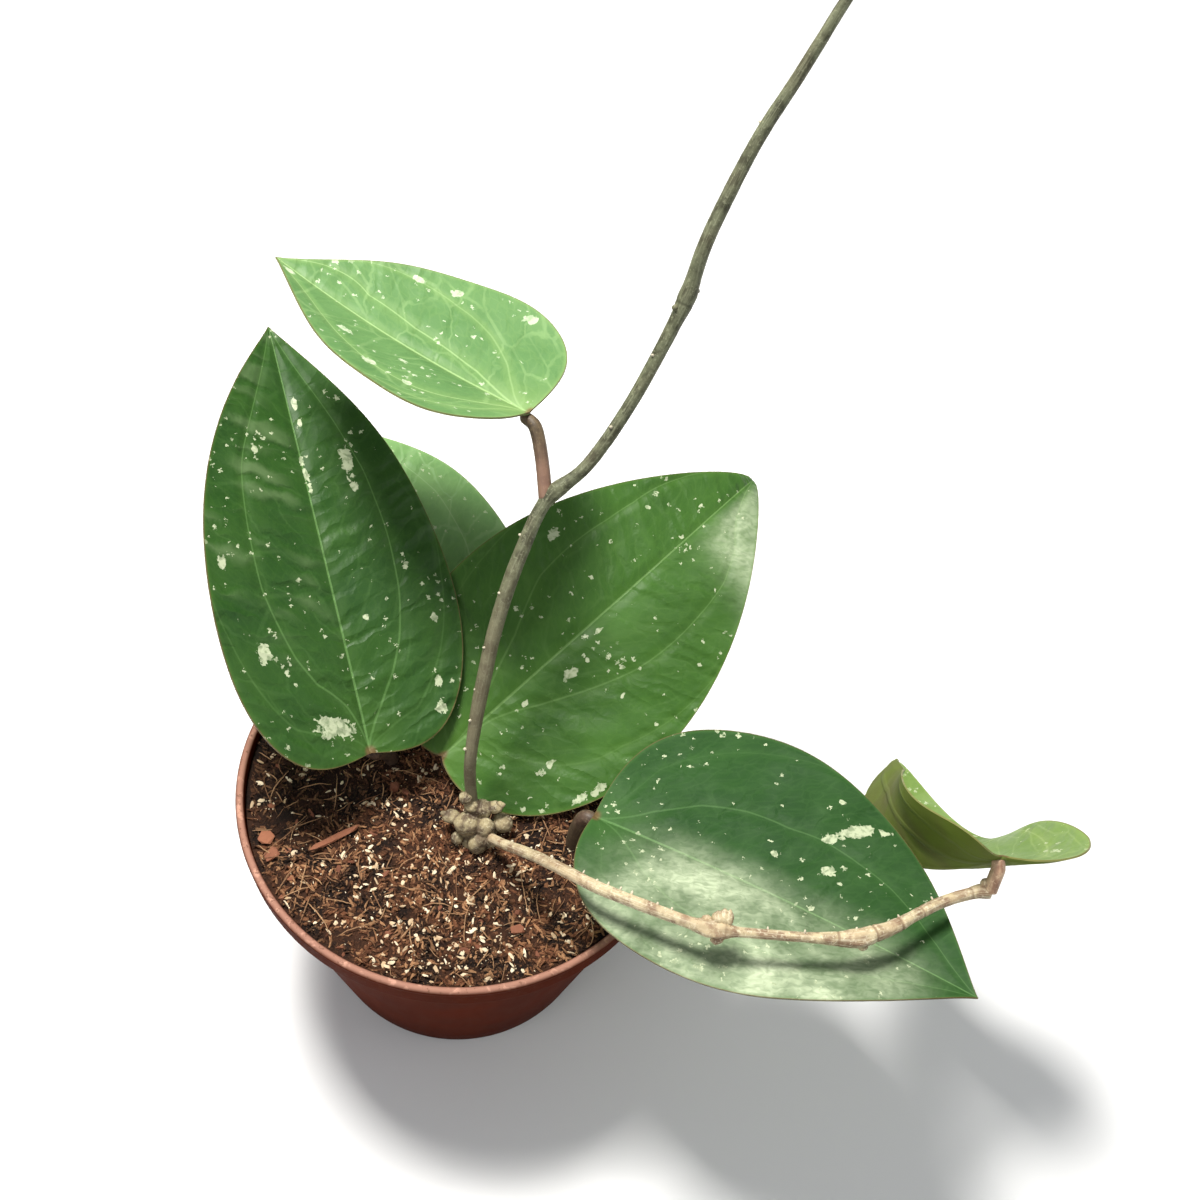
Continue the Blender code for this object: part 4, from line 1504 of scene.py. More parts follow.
@dataclass
class Soil:
    """Lumpy filling of bark and coir, with crumbs, flakes, fibres and chips on it."""

    level: float = 80 * MM
    edge: float = 57.5 * MM
    rings: int = 56
    sides: int = 220
    lumps: int = 170
    lump_spread: tuple[float, float] = (1.8 * MM, 4.2 * MM)
    lump_height: tuple[float, float] = (-1.1 * MM, 1.6 * MM)
    relief_limit: float = 1.5 * MM
    coarse_relief: float = 0.55 * MM
    fine_relief: float = 0.3 * MM
    wall_gap: float = 0.6 * MM
    chip_square: float = 0.6
    chip_lift: float = 1.1 * MM
    fibre_count: int = 300
    fibre_lift: float = 0.75 * MM
    fibre_joints: int = 8
    seed: int = 11
    flakes_at: tuple[float, float] = (4 * MM, -36 * MM)
    flakes_reach: float = 26 * MM
    pot: Pot = field(default_factory=Pot)

    def __post_init__(self) -> None:
        """Draw the same seeded lumps as the solid has."""
        draw = random.Random(self.seed)
        self.lump_list = []
        for _ in range(self.lumps):
            angle = draw.uniform(0, 2 * math.pi)
            reach = (self.pot.rim_radius - 6 * MM) * math.sqrt(draw.random())
            spread = draw.uniform(*self.lump_spread)
            height = draw.uniform(*self.lump_height)
            self.lump_list.append((reach * math.cos(angle), reach * math.sin(angle), spread, height))

    def height(self, x: float, y: float) -> float:
        """Height of the soil's surface at a place, in metres."""
        total = sum(h * math.exp(-((x - lx) ** 2 + (y - ly) ** 2) / s**2) for lx, ly, s, h in self.lump_list)
        total = max(-2 * self.relief_limit, min(self.relief_limit, total))
        place = Vector((x, y, 0)) / MM
        coarse, fine = noise.noise(place / 2.6), noise.noise(place / 1.1 + Vector((9, 4, 2)))
        return self.level + total + (self.coarse_relief * coarse + self.fine_relief * fine)

    def build(self) -> list[Piece]:
        """Make the filling and all that lies on it."""
        pieces = [self._filling(FILLING)]
        pieces += [self._scattered(kind) for kind in LOOSE_BITS]
        pieces += [self._fibres(COIR_FIBRE), self._keepsakes(BARK_CHIP)]
        for piece in pieces:
            place_in_frame(piece, "soil")
        return pieces

    def _filling(self, mix: BarkMix) -> Piece:
        """The body of soil, with a relief of lumps on top."""
        start, step = (self.edge, self.level), self.edge / self.rings
        soil = start_disc("soil_filling", self.sides, *start)
        rings = [(self.edge - step * i, self.level) for i in range(1, self.rings)]
        draw_out(bpy.ops.mesh.extrude_region_move, start, rings)
        bpy.ops.mesh.poke()
        bpy.ops.object.mode_set(mode="OBJECT")
        settle(soil)
        for vert in soil.data.vertices:
            reach = math.hypot(vert.co.x, vert.co.y)
            if reach < self.edge - 1e-5:
                vert.co.z = self.height(vert.co.x, vert.co.y)
        activate(soil)
        bpy.ops.object.mode_set(mode="EDIT")
        bpy.ops.mesh.select_mode(type="EDGE")
        bpy.ops.mesh.select_all(action="DESELECT")
        bpy.ops.mesh.select_non_manifold()
        shoulder, floor = self.pot.collar_foot() - self.pot.wall, self.pot.floor
        rings = [(self.edge, shoulder + 2.9 * MM)]
        rings += [(self.pot.inner_radius(shoulder) - self.wall_gap, shoulder)]
        rings += [(self.pot.inner_radius(floor) - self.wall_gap, floor + 0.3 * MM)]
        draw_out(bpy.ops.mesh.extrude_edges_move, start, rings)
        bpy.ops.mesh.edge_face_add()
        finish_faces()
        soil.data.materials.append(mix.material())
        smooth(soil, 60)
        return soil

    def _shape(self, seed: int) -> tuple[list[Vector], list[tuple[int, ...]]]:
        """Points and faces of one rough bit, modelled once and copied many times."""
        bit, shift = ico_ball(1), Vector((seed * 3.3, seed, 0))
        points = [v.co * (1 + 0.35 * noise.noise(v.co * 1.7 + shift)) for v in bit.data.vertices]
        faces = [tuple(p.vertices) for p in bit.data.polygons]
        bpy.data.objects.remove(bit, do_unlink=True)
        return points, faces

    def _bare(self, x: float, y: float) -> float:
        """How bare of pale flakes a place is: they gather in front of the crown and in small groups."""
        away = (Vector((x, y)) - Vector(self.flakes_at)).length / self.flakes_reach
        groups = noise.noise(Vector((x, y, 0.3)) / (6 * MM))
        return 1 - min(1, max(0, 0.8 * math.exp(-away * away) + 1.1 * groups + 0.15))

    def _scattered(self, kind: Scatter) -> Piece:
        """Many rough bits of one kind, strewn over the soil by a seeded rule."""
        draw = random.Random(kind.seed)
        shapes = [self._shape(kind.seed + i) for i in range(5)]
        heap = Heap()
        while len(heap.tints) < kind.count * len(shapes[0][0]):
            angle = draw.uniform(0, 2 * math.pi)
            reach = (self.edge - 1.2 * MM) * math.sqrt(draw.random())
            x, y = reach * math.cos(angle), reach * math.sin(angle)
            if draw.random() < kind.gathered * self._bare(x, y):
                continue
            size = Vector([draw.uniform(*sizes) for sizes in (kind.long, kind.wide, kind.thick)]) * MM
            turn = Matrix.Rotation(draw.uniform(0, 2 * math.pi), 3, "Z")
            tilt = Matrix.Rotation(draw.uniform(-kind.tilt, kind.tilt), 3, "X")
            tilt = tilt @ Matrix.Rotation(draw.uniform(-kind.tilt, kind.tilt), 3, "Y")
            place = Vector((x, y, self.height(x, y) - kind.sink * size.z))
            shape, faces = draw.choice(shapes)
            curve = draw.uniform(-kind.bend, kind.bend) * size.x
            bends = [Vector((0, curve * p.x**2, 0.5 * curve * p.x**2)) for p in shape]
            points = [place + turn @ tilt @ (p * size + bend) for p, bend in zip(shape, bends)]
            heap.add(points, faces, draw.random())
        return heap.build(kind.name, kind.finish, kind.edges)

    def _keepsakes(self, finish: WoodChip) -> Piece:
        """The few bits that stand out in the photograph."""
        heap = Heap()
        for x, y, size, turn, tilt, curve, tint in KEEPSAKES:
            shape, faces = self._shape(int(100 + x))
            pose = Matrix.Rotation(math.radians(turn), 3, "Z") @ Matrix.Rotation(math.radians(tilt), 3, "Y")
            place = Vector((x * MM, y * MM, self.height(x * MM, y * MM) + self.chip_lift))
            points = []
            for p in shape:
                x, y, z = (math.copysign(abs(c) ** self.chip_square, c) for c in p)
                boxed = Vector((x * size[0], y * size[1] + curve * size[0] * x**2, z * size[2]))
                points.append(place + pose @ (boxed * MM))
            heap.add(points, faces, tint)
        return heap.build("large_chips", finish, 30)

    def _fibres(self, finish: WoodChip) -> Piece:
        """Fine curly fibres and dry rootlets."""
        draw = random.Random(31)
        heap = Heap()
        for k in range(self.fibre_count):
            angle = draw.uniform(0, 2 * math.pi)
            reach = (self.edge - 4 * MM) * math.sqrt(draw.random())
            start = Vector((reach * math.cos(angle), reach * math.sin(angle), 0))
            heading = draw.uniform(0, 2 * math.pi)
            long = draw.choice((3, 4, 5, 6, 8, 11)) * draw.uniform(0.7, 1.2) * MM
            curl = draw.uniform(-0.9, 0.9)
            if k < len(LONG_ROOTS):
                start, heading, long, curl = Vector((*LONG_ROOTS[k][0], 0)) * MM, *LONG_ROOTS[k][1:]
                long *= MM
            hump = draw.uniform(0.04, 0.09) * long
            radius = draw.uniform(0.08, 0.17) * MM
            route, place = [], start.copy()
            count = self.fibre_joints
            for i in range(count + 1):
                share = i / count
                if math.hypot(place.x, place.y) > self.edge - 1 * MM:
                    place.xy = place.xy.normalized() * (self.edge - 1 * MM)
                z = self.height(place.x, place.y) + self.fibre_lift + hump * math.sin(math.pi * share)
                route.append(Vector((place.x, place.y, z)))
                heading += curl / count + draw.uniform(-0.12, 0.12)
                place = place + Vector((math.cos(heading), math.sin(heading), 0)) * long / count
            heap.add(*strand(route, radius), draw.random())
        return heap.build("coir_fibres", finish, 75)


def strand(route: list[Vector], radius: float, sides: int = 4) -> tuple[list[Vector], list[tuple[int, ...]]]:
    """Points and faces of a thin closed strand along a route."""
    points, faces = [], []
    for i, place in enumerate(route):
        ahead = direction(route, i)
        side = ahead.cross(Vector((0.1, 0.05, 1))).normalized()
        up = side.cross(ahead)
        thick = radius * (1 - 0.75 * abs(2 * i / (len(route) - 1) - 1) ** 3)
        for k in range(sides):
            angle = 2 * math.pi * k / sides
            points.append(place + (side * math.cos(angle) + up * math.sin(angle)) * thick)
    for i in range(len(route) - 1):
        for k in range(sides):
            a, b = i * sides + k, i * sides + (k + 1) % sides
            faces.append((a, b, b + sides, a + sides))
    faces.append(tuple(reversed(range(sides))))
    faces.append(tuple(range(len(points) - sides, len(points))))
    return points, faces


# Crown


@dataclass
class Crown:
    """The gnarled rootstock that both vines grow from, as one lumpy body."""

    skin: Bark
    knobs: tuple[tuple[Point, float, Point], ...] = (
        ((6.4, -14.4, 77), 5.2, (1, 1, 1.5)),
        ((4.9, -12.5, 83.8), 4.2, (1.1, 1, 0.9)),
        ((2.3, -9.9, 92.6), 1.85, (1, 1, 1.15)),
        ((4.3, -10.6, 90.2), 1.9, (1.1, 1, 1)),
        ((6.9, -10.3, 89.2), 2.4, (1.2, 1, 0.95)),
        ((9.9, -9.9, 89.7), 1.75, (1.3, 1, 0.9)),
        ((11.6, -9.3, 90.7), 0.95, (1.5, 0.9, 0.8)),
        ((-0.8, -12.6, 86.6), 2.0, (1.4, 1, 0.9)),
        ((-2.8, -12.4, 87.5), 1.1, (1.3, 0.8, 0.8)),
        ((3.4, -14.3, 86.8), 3.1, (1.1, 1, 0.95)),
        ((8.2, -14.2, 86.3), 2.6, (1.05, 1, 1)),
        ((12.4, -11.4, 84.6), 2.7, (1.1, 1, 1)),
        ((6.9, -17.4, 82.6), 2.6, (1, 1, 1.3)),
        ((10.4, -16.6, 84.0), 1.9, (1, 1, 1)),
        ((1.2, -16.6, 82.6), 1.7, (1, 1, 1)),
    )
    voxel: float = 0.32 * MM
    melting: int = 6
    relief: float = 0.28
    lumps: tuple[Range, ...] = ((2.4, 1), (1.0, 0.5), (0.45, 0.25))
    crease: float = 0.85
    crease_width: float = 0.16

    def _crease(self, spot: Vector) -> float:
        """How deep a place lies between two knobs, from 0 to 1: the crown's skin takes painted shade there.
        """
        away = sorted(
            Vector([(a - b) / (radius * s) for a, b, s in zip(spot, centre, stretch)]).length
            for centre, radius, stretch in self.knobs
        )
        return self.crease * math.exp(-(((away[1] - 1) / self.crease_width) ** 2))

    def build(self) -> Piece:
        """Melt the knobs into one body and roughen it."""
        balls = []
        for centre, radius, stretch in self.knobs:
            size = {"radius": radius * MM, "location": tuple(c * MM for c in centre), "scale": stretch}
            deselect_all()
            bpy.ops.mesh.primitive_ico_sphere_add(subdivisions=3, **size)
            balls.append(bpy.context.object)
        crown = join(balls)
        crown.name = crown.data.name = "crown_knobs"
        settle(crown)
        modify(crown, "REMESH", mode="VOXEL", voxel_size=self.voxel)
        modify(crown, "SMOOTH", factor=0.5, iterations=self.melting)
        places = [v.co.copy() for v in crown.data.vertices]
        normals = [v.normal.copy() for v in crown.data.vertices]
        for vert, place, normal in zip(crown.data.vertices, places, normals):
            lump = sum(height * noise.noise(place / MM / size) for size, height in self.lumps)
            vert.co = place + normal * lump * self.relief * MM
        carry_vectors(crown, "course", [tuple(p / MM) for p in places])
        # The creases between knobs are carried for painted shade
        carry(crown, "scar_and_crease_shade", [self._crease(place / MM) for place in places])
        crown.data.materials.clear()
        crown.data.materials.append(self.skin.material())
        smooth(crown, 80)
        place_in_frame(crown, "crown")
        return crown


# Studio


@dataclass(frozen=True)
class SoftLight:
    """A large soft lamp that faces a point."""

    name: str
    place: Point
    aim: Point
    size: float
    power: float
    colour: Colour = (1, 1, 1)

    def build(self) -> None:
        """Add the lamp to the scene."""
        lamp = bpy.data.lights.new(self.name, "AREA")
        lamp.shape, lamp.size, lamp.energy, lamp.color = "SQUARE", self.size, self.power, self.colour
        holder = bpy.data.objects.new(self.name, lamp)
        holder.location = self.place
        holder.rotation_euler = (Vector(self.aim) - Vector(self.place)).to_track_quat("-Z", "Y").to_euler()
        bpy.context.scene.collection.objects.link(holder)


@dataclass
class Studio:
    """Camera at the photograph's angle, a pale floor and soft light."""

    place: Point = (0.0300, -0.1997, 0.4391)
    tilt: float = 53.148
    roll: float = 7.815
    lens: float = 45
    sensor: float = 36
    floor_size: float = 3.0
    floor_colour: Colour = (0.86, 0.86, 0.86)
    floor_rough: float = 0.9
    floor_shine: float = 0.1
    sky: Colour = (0.93, 0.96, 1.0)
    sky_strength: float = 0.30
    lights: tuple[SoftLight, ...] = (
        SoftLight("key", (-0.22, 0.20, 1.05), (0.02, 0.01, 0.08), 0.24, 17.0, (1, 0.98, 0.94)),
        SoftLight("front_fill", (-0.5, -0.8, 0.8), (0.02, 0, 0.08), 0.9, 3.2),
        SoftLight("side_fill", (0.9, 0.1, 0.6), (0.02, 0, 0.08), 0.7, 2.0),
    )

    def build(self) -> None:
        """Set the camera, the floor and the light."""
        self._camera()
        self._floor()
        for light in self.lights:
            light.build()
        world = bpy.context.scene.world or bpy.data.worlds.new("sky")
        bpy.context.scene.world = world
        world.use_nodes = True
        background = world.node_tree.nodes["Background"]
        background.inputs["Color"].default_value = (*self.sky, 1)
        background.inputs["Strength"].default_value = self.sky_strength
        bpy.context.scene.view_settings.view_transform = "Standard"

    def _camera(self) -> None:
        """Place the camera, tilted down and rolled as in the photograph."""
        tilt, roll = math.radians(self.tilt), math.radians(self.roll)
        ahead = Vector((0, math.cos(tilt), -math.sin(tilt)))
        up = Vector((0, math.sin(tilt), math.cos(tilt)))
        right = Vector((1, 0, 0))
        image_right = right * math.cos(roll) + up * math.sin(roll)
        image_up = up * math.cos(roll) - right * math.sin(roll)
        lens = bpy.data.cameras.new("photo_camera")
        lens.lens, lens.sensor_width, lens.clip_start = self.lens, self.sensor, 0.01
        camera = bpy.data.objects.new("photo_camera", lens)
        turn = Matrix((image_right, image_up, -ahead)).transposed().to_4x4()
        camera.matrix_world = Matrix.Translation(self.place) @ turn
        bpy.context.scene.collection.objects.link(camera)
        bpy.context.scene.camera = camera

    def _floor(self) -> None:
        """A plain pale floor under the pot."""
        deselect_all()
        bpy.ops.mesh.primitive_plane_add(size=self.floor_size, location=(0, 0, -0.1 * MM))
        floor = bpy.context.object
        floor.name = "floor"
        nodes = Nodes("pale_floor")
        floor.data.materials.append(nodes.surface(self.floor_colour, self.floor_rough, self.floor_shine))


# The plant


TALL_ROUTE = (
    (5.2, -11, 84.4), (3.4, -8.2, 94), (2.7, -5.5, 104.9), (3.1, 1, 116.1), (4, 7, 125.6), (4.9, 12.4, 133.3),
    (6.6, 19.4, 141.9), (9.4, 27.9, 151), (13.7, 37.8, 159.4), (22.3, 43.8, 167), (29.9, 51.9, 179),
    (35.8, 60.1, 191.4), (40.3, 67.1, 203.2), (42.5, 72.1, 214.3), (45.9, 78, 224.2), (51, 85.1, 236.6),
    (56.9, 91.2, 247.9), (61, 95.2, 256.4), (64.7, 98.7, 264.2), (69.9, 103.2, 273.7), (75.9, 107.8, 283.7),
)
TRAIL_ROUTE = (
    (10.4, -17, 86), (14.5, -21, 91.2), (20.4, -26.1, 98.5), (27.1, -31.9, 105.6), (33.4, -36.7, 110.4),
    (39.5, -40.3, 113.2), (51.4, -44.6, 115.5), (63.3, -48.1, 116.9), (67.8, -48.4, 116.9),
    (77.3, -48.3, 117.5), (86.7, -47.7, 117.6), (98.4, -46.3, 117.2), (105.1, -43.6, 116.7),
    (110.4, -40.3, 116.2), (120.2, -33.3, 115.7), (129.1, -29, 115.5), (132.7, -28.4, 115.7),
)
TALL_RADII: Track = (
    (0, 1.5), (0.1, 1.6), (0.16, 1.87), (0.3, 1.87), (0.36, 1.75), (0.42, 1.6), (0.5, 1.6), (0.56, 1.65),
    (0.6, 1.75), (0.65, 1.75), (0.72, 1.65), (0.8, 1.5), (0.9, 1.3), (1, 1.2),
)
TRAIL_RADII: Track = (
    (0, 1.3), (0.1, 1.4), (0.25, 1.5), (0.42, 1.5), (0.47, 1.42), (0.5, 1.35), (0.54, 1.25), (0.56, 1.18),
    (0.66, 1.18), (0.7, 1.4), (0.81, 1.55), (0.85, 1.42), (0.93, 1.4), (1, 1.45),
)
# Where the small root nubs stand on both vines
TALL_NUBS_AT = (0.10, 0.135, 0.165, 0.215, 0.27, 0.33, 0.47, 0.55, 0.78)
TRAIL_NUBS_AT = (
    0.19, 0.205, 0.24, 0.275, 0.31, 0.328, 0.35, 0.37, 0.415, 0.44, 0.07, 0.13, 0.6, 0.66, 0.745, 0.83, 0.9
)

GREY_BARK = Bark(
    "grey_vine_bark", light=(0.27, 0.28, 0.175), mid=(0.12, 0.128, 0.072), dark=(0.05, 0.05, 0.026),
    blush=(0.19, 0.155, 0.093), blush_show=0.15, fibre_show=0.4, rough=0.6, relief=0.00012, foot_reach=95,
)
TAN_BARK = Bark(
    "tan_vine_bark", light=(0.78, 0.72, 0.52), mid=(0.52, 0.43, 0.26), dark=(0.22, 0.14, 0.08),
    blush=(0.38, 0.25, 0.15), blush_show=0.35, fibre_show=0.4, rough=0.6, relief=0.00016,
)
CROWN_BARK = Bark(
    "crown_bark", light=(0.66, 0.60, 0.40), mid=(0.38, 0.315, 0.175), dark=(0.075, 0.048, 0.030),
    blush=(0.24, 0.18, 0.105), blush_show=0.35, fibre_show=0.2, rough=0.75, relief=0.0003,
)
PINK_STALK = Bark(
    "pink_petiole", light=(0.21, 0.155, 0.085), mid=(0.105, 0.075, 0.04), dark=(0.05, 0.034, 0.02),
    blush=(0.28, 0.155, 0.11), blush_show=0.15, fibre_show=0.25, rough=0.5, relief=0.00008, foot_reach=17,
)
PALE_STALK = Bark(
    "pale_petiole", light=(0.70, 0.54, 0.36), mid=(0.47, 0.30, 0.19), dark=(0.24, 0.125, 0.08),
    blush=(0.50, 0.40, 0.23), blush_show=0.45, fibre_show=0.25, rough=0.5, relief=0.00008,
)
BROWN_STALK = Bark(
    "brown_petiole", light=(0.20, 0.14, 0.09), mid=(0.09, 0.055, 0.037), dark=(0.04, 0.024, 0.017),
    blush=(0.10, 0.08, 0.045), blush_show=0.4, fibre_show=0.25, rough=0.5, relief=0.00008,
)

OLIVE_BACK = LeafBack(
    "olive_underside", green=(0.118, 0.162, 0.024), deep=(0.108, 0.116, 0.034), vein=(0.135, 0.168, 0.045),
    rough=0.7, shine=0.06,
)
SOFT_BACK = LeafBack(
    "soft_underside", green=(0.16, 0.24, 0.085), deep=(0.11, 0.18, 0.06), vein=(0.25, 0.33, 0.15),
)

LEFT_BLADE = Blade(
    base=(-23.4, -4.5, 99.7), heading=115.5, rise=31.6, roll=17.9, length=120.6, right=32.7, left=35,
    arch=(14.3,), sweep=(5.6,), left_fold=(9.7,), right_fold=(8.6,), blunt=0.85, point=1.1, shoulder=0.36,
    petiole=((-20, 7, 69), (-20.5, 6, 79), (-21.5, 3, 88), (-23, -2, 96)),
    inner=(
        ((0, 0), (0.05, 0.1), (0.118, 0.205), (0.2, 0.405), (0.275, 0.485), (0.357, 0.53), (0.43, 0.575),
         (0.522, 0.595), (0.667, 0.635), (0.705, 0.62), (0.797, 0.545), (0.912, 0.45), (1, 0.4)),
        ((0, 0), (0.05, 0.2), (0.11, 0.32), (0.198, 0.435), (0.283, 0.5), (0.388, 0.545), (0.49, 0.565),
         (0.65, 0.58), (0.8, 0.52), (0.92, 0.42), (1, 0.4)),
    ),
    outer=(
        ((0, 0.2), (0.1, 0.62), (0.182, 0.79), (0.278, 0.845), (0.4, 0.93), (0.5, 1.02), (1, 1.4)),
        GENERIC_OUTER,
    ),
    patches=(
        Patch(0.107, -0.5, 6.0, 2.6, 110), Patch(0.33, -0.705, 2.4, 2.2), Patch(0.185, 0.905, 2.0, 1.4),
        Patch(0.355, 0.79, 1.6, 1.2), Patch(0.512, -0.86, 1.6, 1.2), Patch(0.66, 0.46, 4.5, 1.7),
        Patch(0.305, 0.235, 1.2, 0.8), Patch(0.60, 0.42, 2.2, 1.0), Patch(0.235, 0.83, 1.8, 0.9),
        Patch(0.63, 0.02, 2.2, 0.9), Patch(0.665, 0.01, 1.2, 0.8), Patch(0.80, 0.10, 1.8, 0.8),
        Patch(0.755, 0.10, 1.4, 0.7), Patch(0.595, 0.03, 1.2, 0.7), Patch(0.70, -0.5, 1.2, 0.9),
    ),
)
CENTRE_BLADE = Blade(
    base=(-6.3, 3.5, 89.3), heading=46.1, rise=20.8, roll=21.9, length=129.4, right=39.2, left=36,
    arch=(14.8,), sweep=(-1.2,), left_fold=(2.8,), right_fold=(2.2,), blunt=1.21, point=1.52, shoulder=0.39,
    hook=94, petiole=((0, 5, 69), (-0.6, 4.6, 77), (-2.4, 4.1, 82), (-4.4, 3.6, 85.6)),
    inner=(
        ((0, 0), (0.06, 0.07), (0.133, 0.19), (0.22, 0.28), (0.312, 0.355), (0.448, 0.53), (0.54, 0.58),
         (0.625, 0.62), (0.688, 0.685), (0.763, 0.825), (0.85, 0.98), (1, 1.1)),
        ((0, 0), (0.06, 0.03), (0.133, 0.095), (0.233, 0.235), (0.312, 0.315), (0.455, 0.45), (0.522, 0.495),
         (0.628, 0.565), (0.713, 0.635), (0.777, 0.595), (0.82, 0.4), (0.9, 0.2), (1, 0.1)),
    ),
    outer=(
        GENERIC_OUTER,
        ((0, 0.2), (0.08, 0.4), (0.163, 0.57), (0.263, 0.715), (0.333, 0.775), (0.388, 0.79), (0.473, 0.865),
         (0.6, 0.98), (1, 1.4)),
    ),
    patches=(
        Patch(0.323, 0.185, 2.2, 1.5), Patch(0.537, -0.735, 2.0, 1.4), Patch(0.246, 0.69, 1.9, 0.9),
        Patch(0.42, 0.073, 1.3, 0.8), Patch(0.37, 0.18, 0.9, 0.7), Patch(0.685, 0.08, 0.9, 0.6),
        Patch(0.335, 0.945, 3.2, 1.1), Patch(0.302, 0.955, 3.0, 1.0), Patch(0.208, 0.16, 1.1, 0.6),
        Patch(0.405, 0.525, 1.0, 0.5), Patch(0.7, -0.57, 0.9, 0.8),
    ),
)
FRONT_BLADE = Blade(
    base=(36, -11.6, 96), heading=-19.2, rise=5, roll=-10, length=104.3, right=34.2, left=41.5, arch=(-3.6,),
    sweep=(10,), left_fold=(12,), right_fold=(11.5,), blunt=0.84, point=1.13, shoulder=0.27, curl=-20,
    petiole=((31.5, -12.5, 69), (31.6, -12.4, 80), (32.2, -11.6, 88), (34, -11.2, 93.6)),
    inner=(
        ((0, 0), (0.06, 0.15), (0.14, 0.295), (0.253, 0.405), (0.36, 0.45), (0.463, 0.455), (0.545, 0.5),
         (0.635, 0.515), (0.72, 0.54), (0.795, 0.53), (0.865, 0.505), (1, 0.4)),
        GENERIC_INNER,
    ),
    patches=(
        Patch(0.557, -0.54, 2.3, 1.2, -40), Patch(0.61, -0.72, 4.6, 1.7, -42),
        Patch(0.665, -0.88, 1.8, 0.9, -30), Patch(0.575, -0.325, 1.9, 1.3), Patch(0.56, -0.82, 1.0, 0.8),
        Patch(0.448, -0.255, 1.4, 0.8),
    ),
)
UPPER_BLADE = Blade(
    base=(6.8, 52.5, 174), heading=151.4, rise=-7, roll=3.7, length=78.8, right=30.7, left=29.2,
    arch=(-24.4,), sweep=(-5.9,), left_fold=(26,), right_fold=(5.6,), blunt=0.86, point=1.18, shoulder=0.31,
    grip=0.032, petiole_radius=1.7,
    petiole=((13.4, 38.2, 159.8), (12.2, 42.3, 163.5), (10.6, 46.8, 167.8), (8.6, 50.6, 171.2)),
    inner=(
        ((0, 0.1), (0.103, 0.405), (0.26, 0.59), (0.343, 0.66), (0.5, 0.7), (0.7, 0.62), (1, 0.4)),
        ((0, 0), (0.1, 0.06), (0.247, 0.155), (0.51, 0.21), (0.703, 0.335), (0.87, 0.72), (1, 1.0)),
    ),
    outer=(
        GENERIC_OUTER,
        ((0, 0), (0.043, 0.085), (0.12, 0.27), (0.21, 0.42), (0.335, 0.535), (0.492, 0.635), (0.613, 0.755),
         (0.745, 0.91), (1, 1.2)),
    ),
    patches=(
        Patch(0.645, -0.48, 2.2, 1.2), Patch(0.503, -0.695, 2.4, 1.4), Patch(0.37, -0.66, 1.8, 1.0),
        Patch(0.537, 0.785, 1.4, 2.4), Patch(0.93, -0.3, 1.8, 1.0), Patch(0.647, 0.81, 1.8, 0.9),
        Patch(0.338, 0.895, 1.8, 1.6),
    ),
)
FAR_BLADE = Blade(
    base=(133.5, -22.7, 124.2), heading=156.1, rise=-63.8, roll=77.2, length=92.7, right=37.6, left=22.8,
    arch=(3.2, -114.5, -189.8, -111.6), sweep=(-46.6, -0.8), twist=(-6.8, 216.9, -106.5),
    left_fold=(-32.4, 30.7, 51.5, 37.7), right_fold=(12, 53.1, 74.2, 90.7), blunt=0.72, point=0.82,
    shoulder=0.52, grip=0, petiole_radius=1.75,
    petiole=((132.6, -28.2, 116), (132.9, -26.6, 118.6), (133.2, -24.9, 121.2)),
)
REAR_BLADE = Blade(
    base=(-7, 33, 86), heading=122, rise=33.6, roll=17.5, length=82.6, right=32.4, left=33, arch=(31.5,),
    sweep=(0,), left_fold=(6,), right_fold=(4.5,), blunt=0.82, point=0.95, shoulder=0.34,
    petiole=((-4, 28, 69), (-4.2, 28.6, 77), (-5.2, 31, 83)),
)

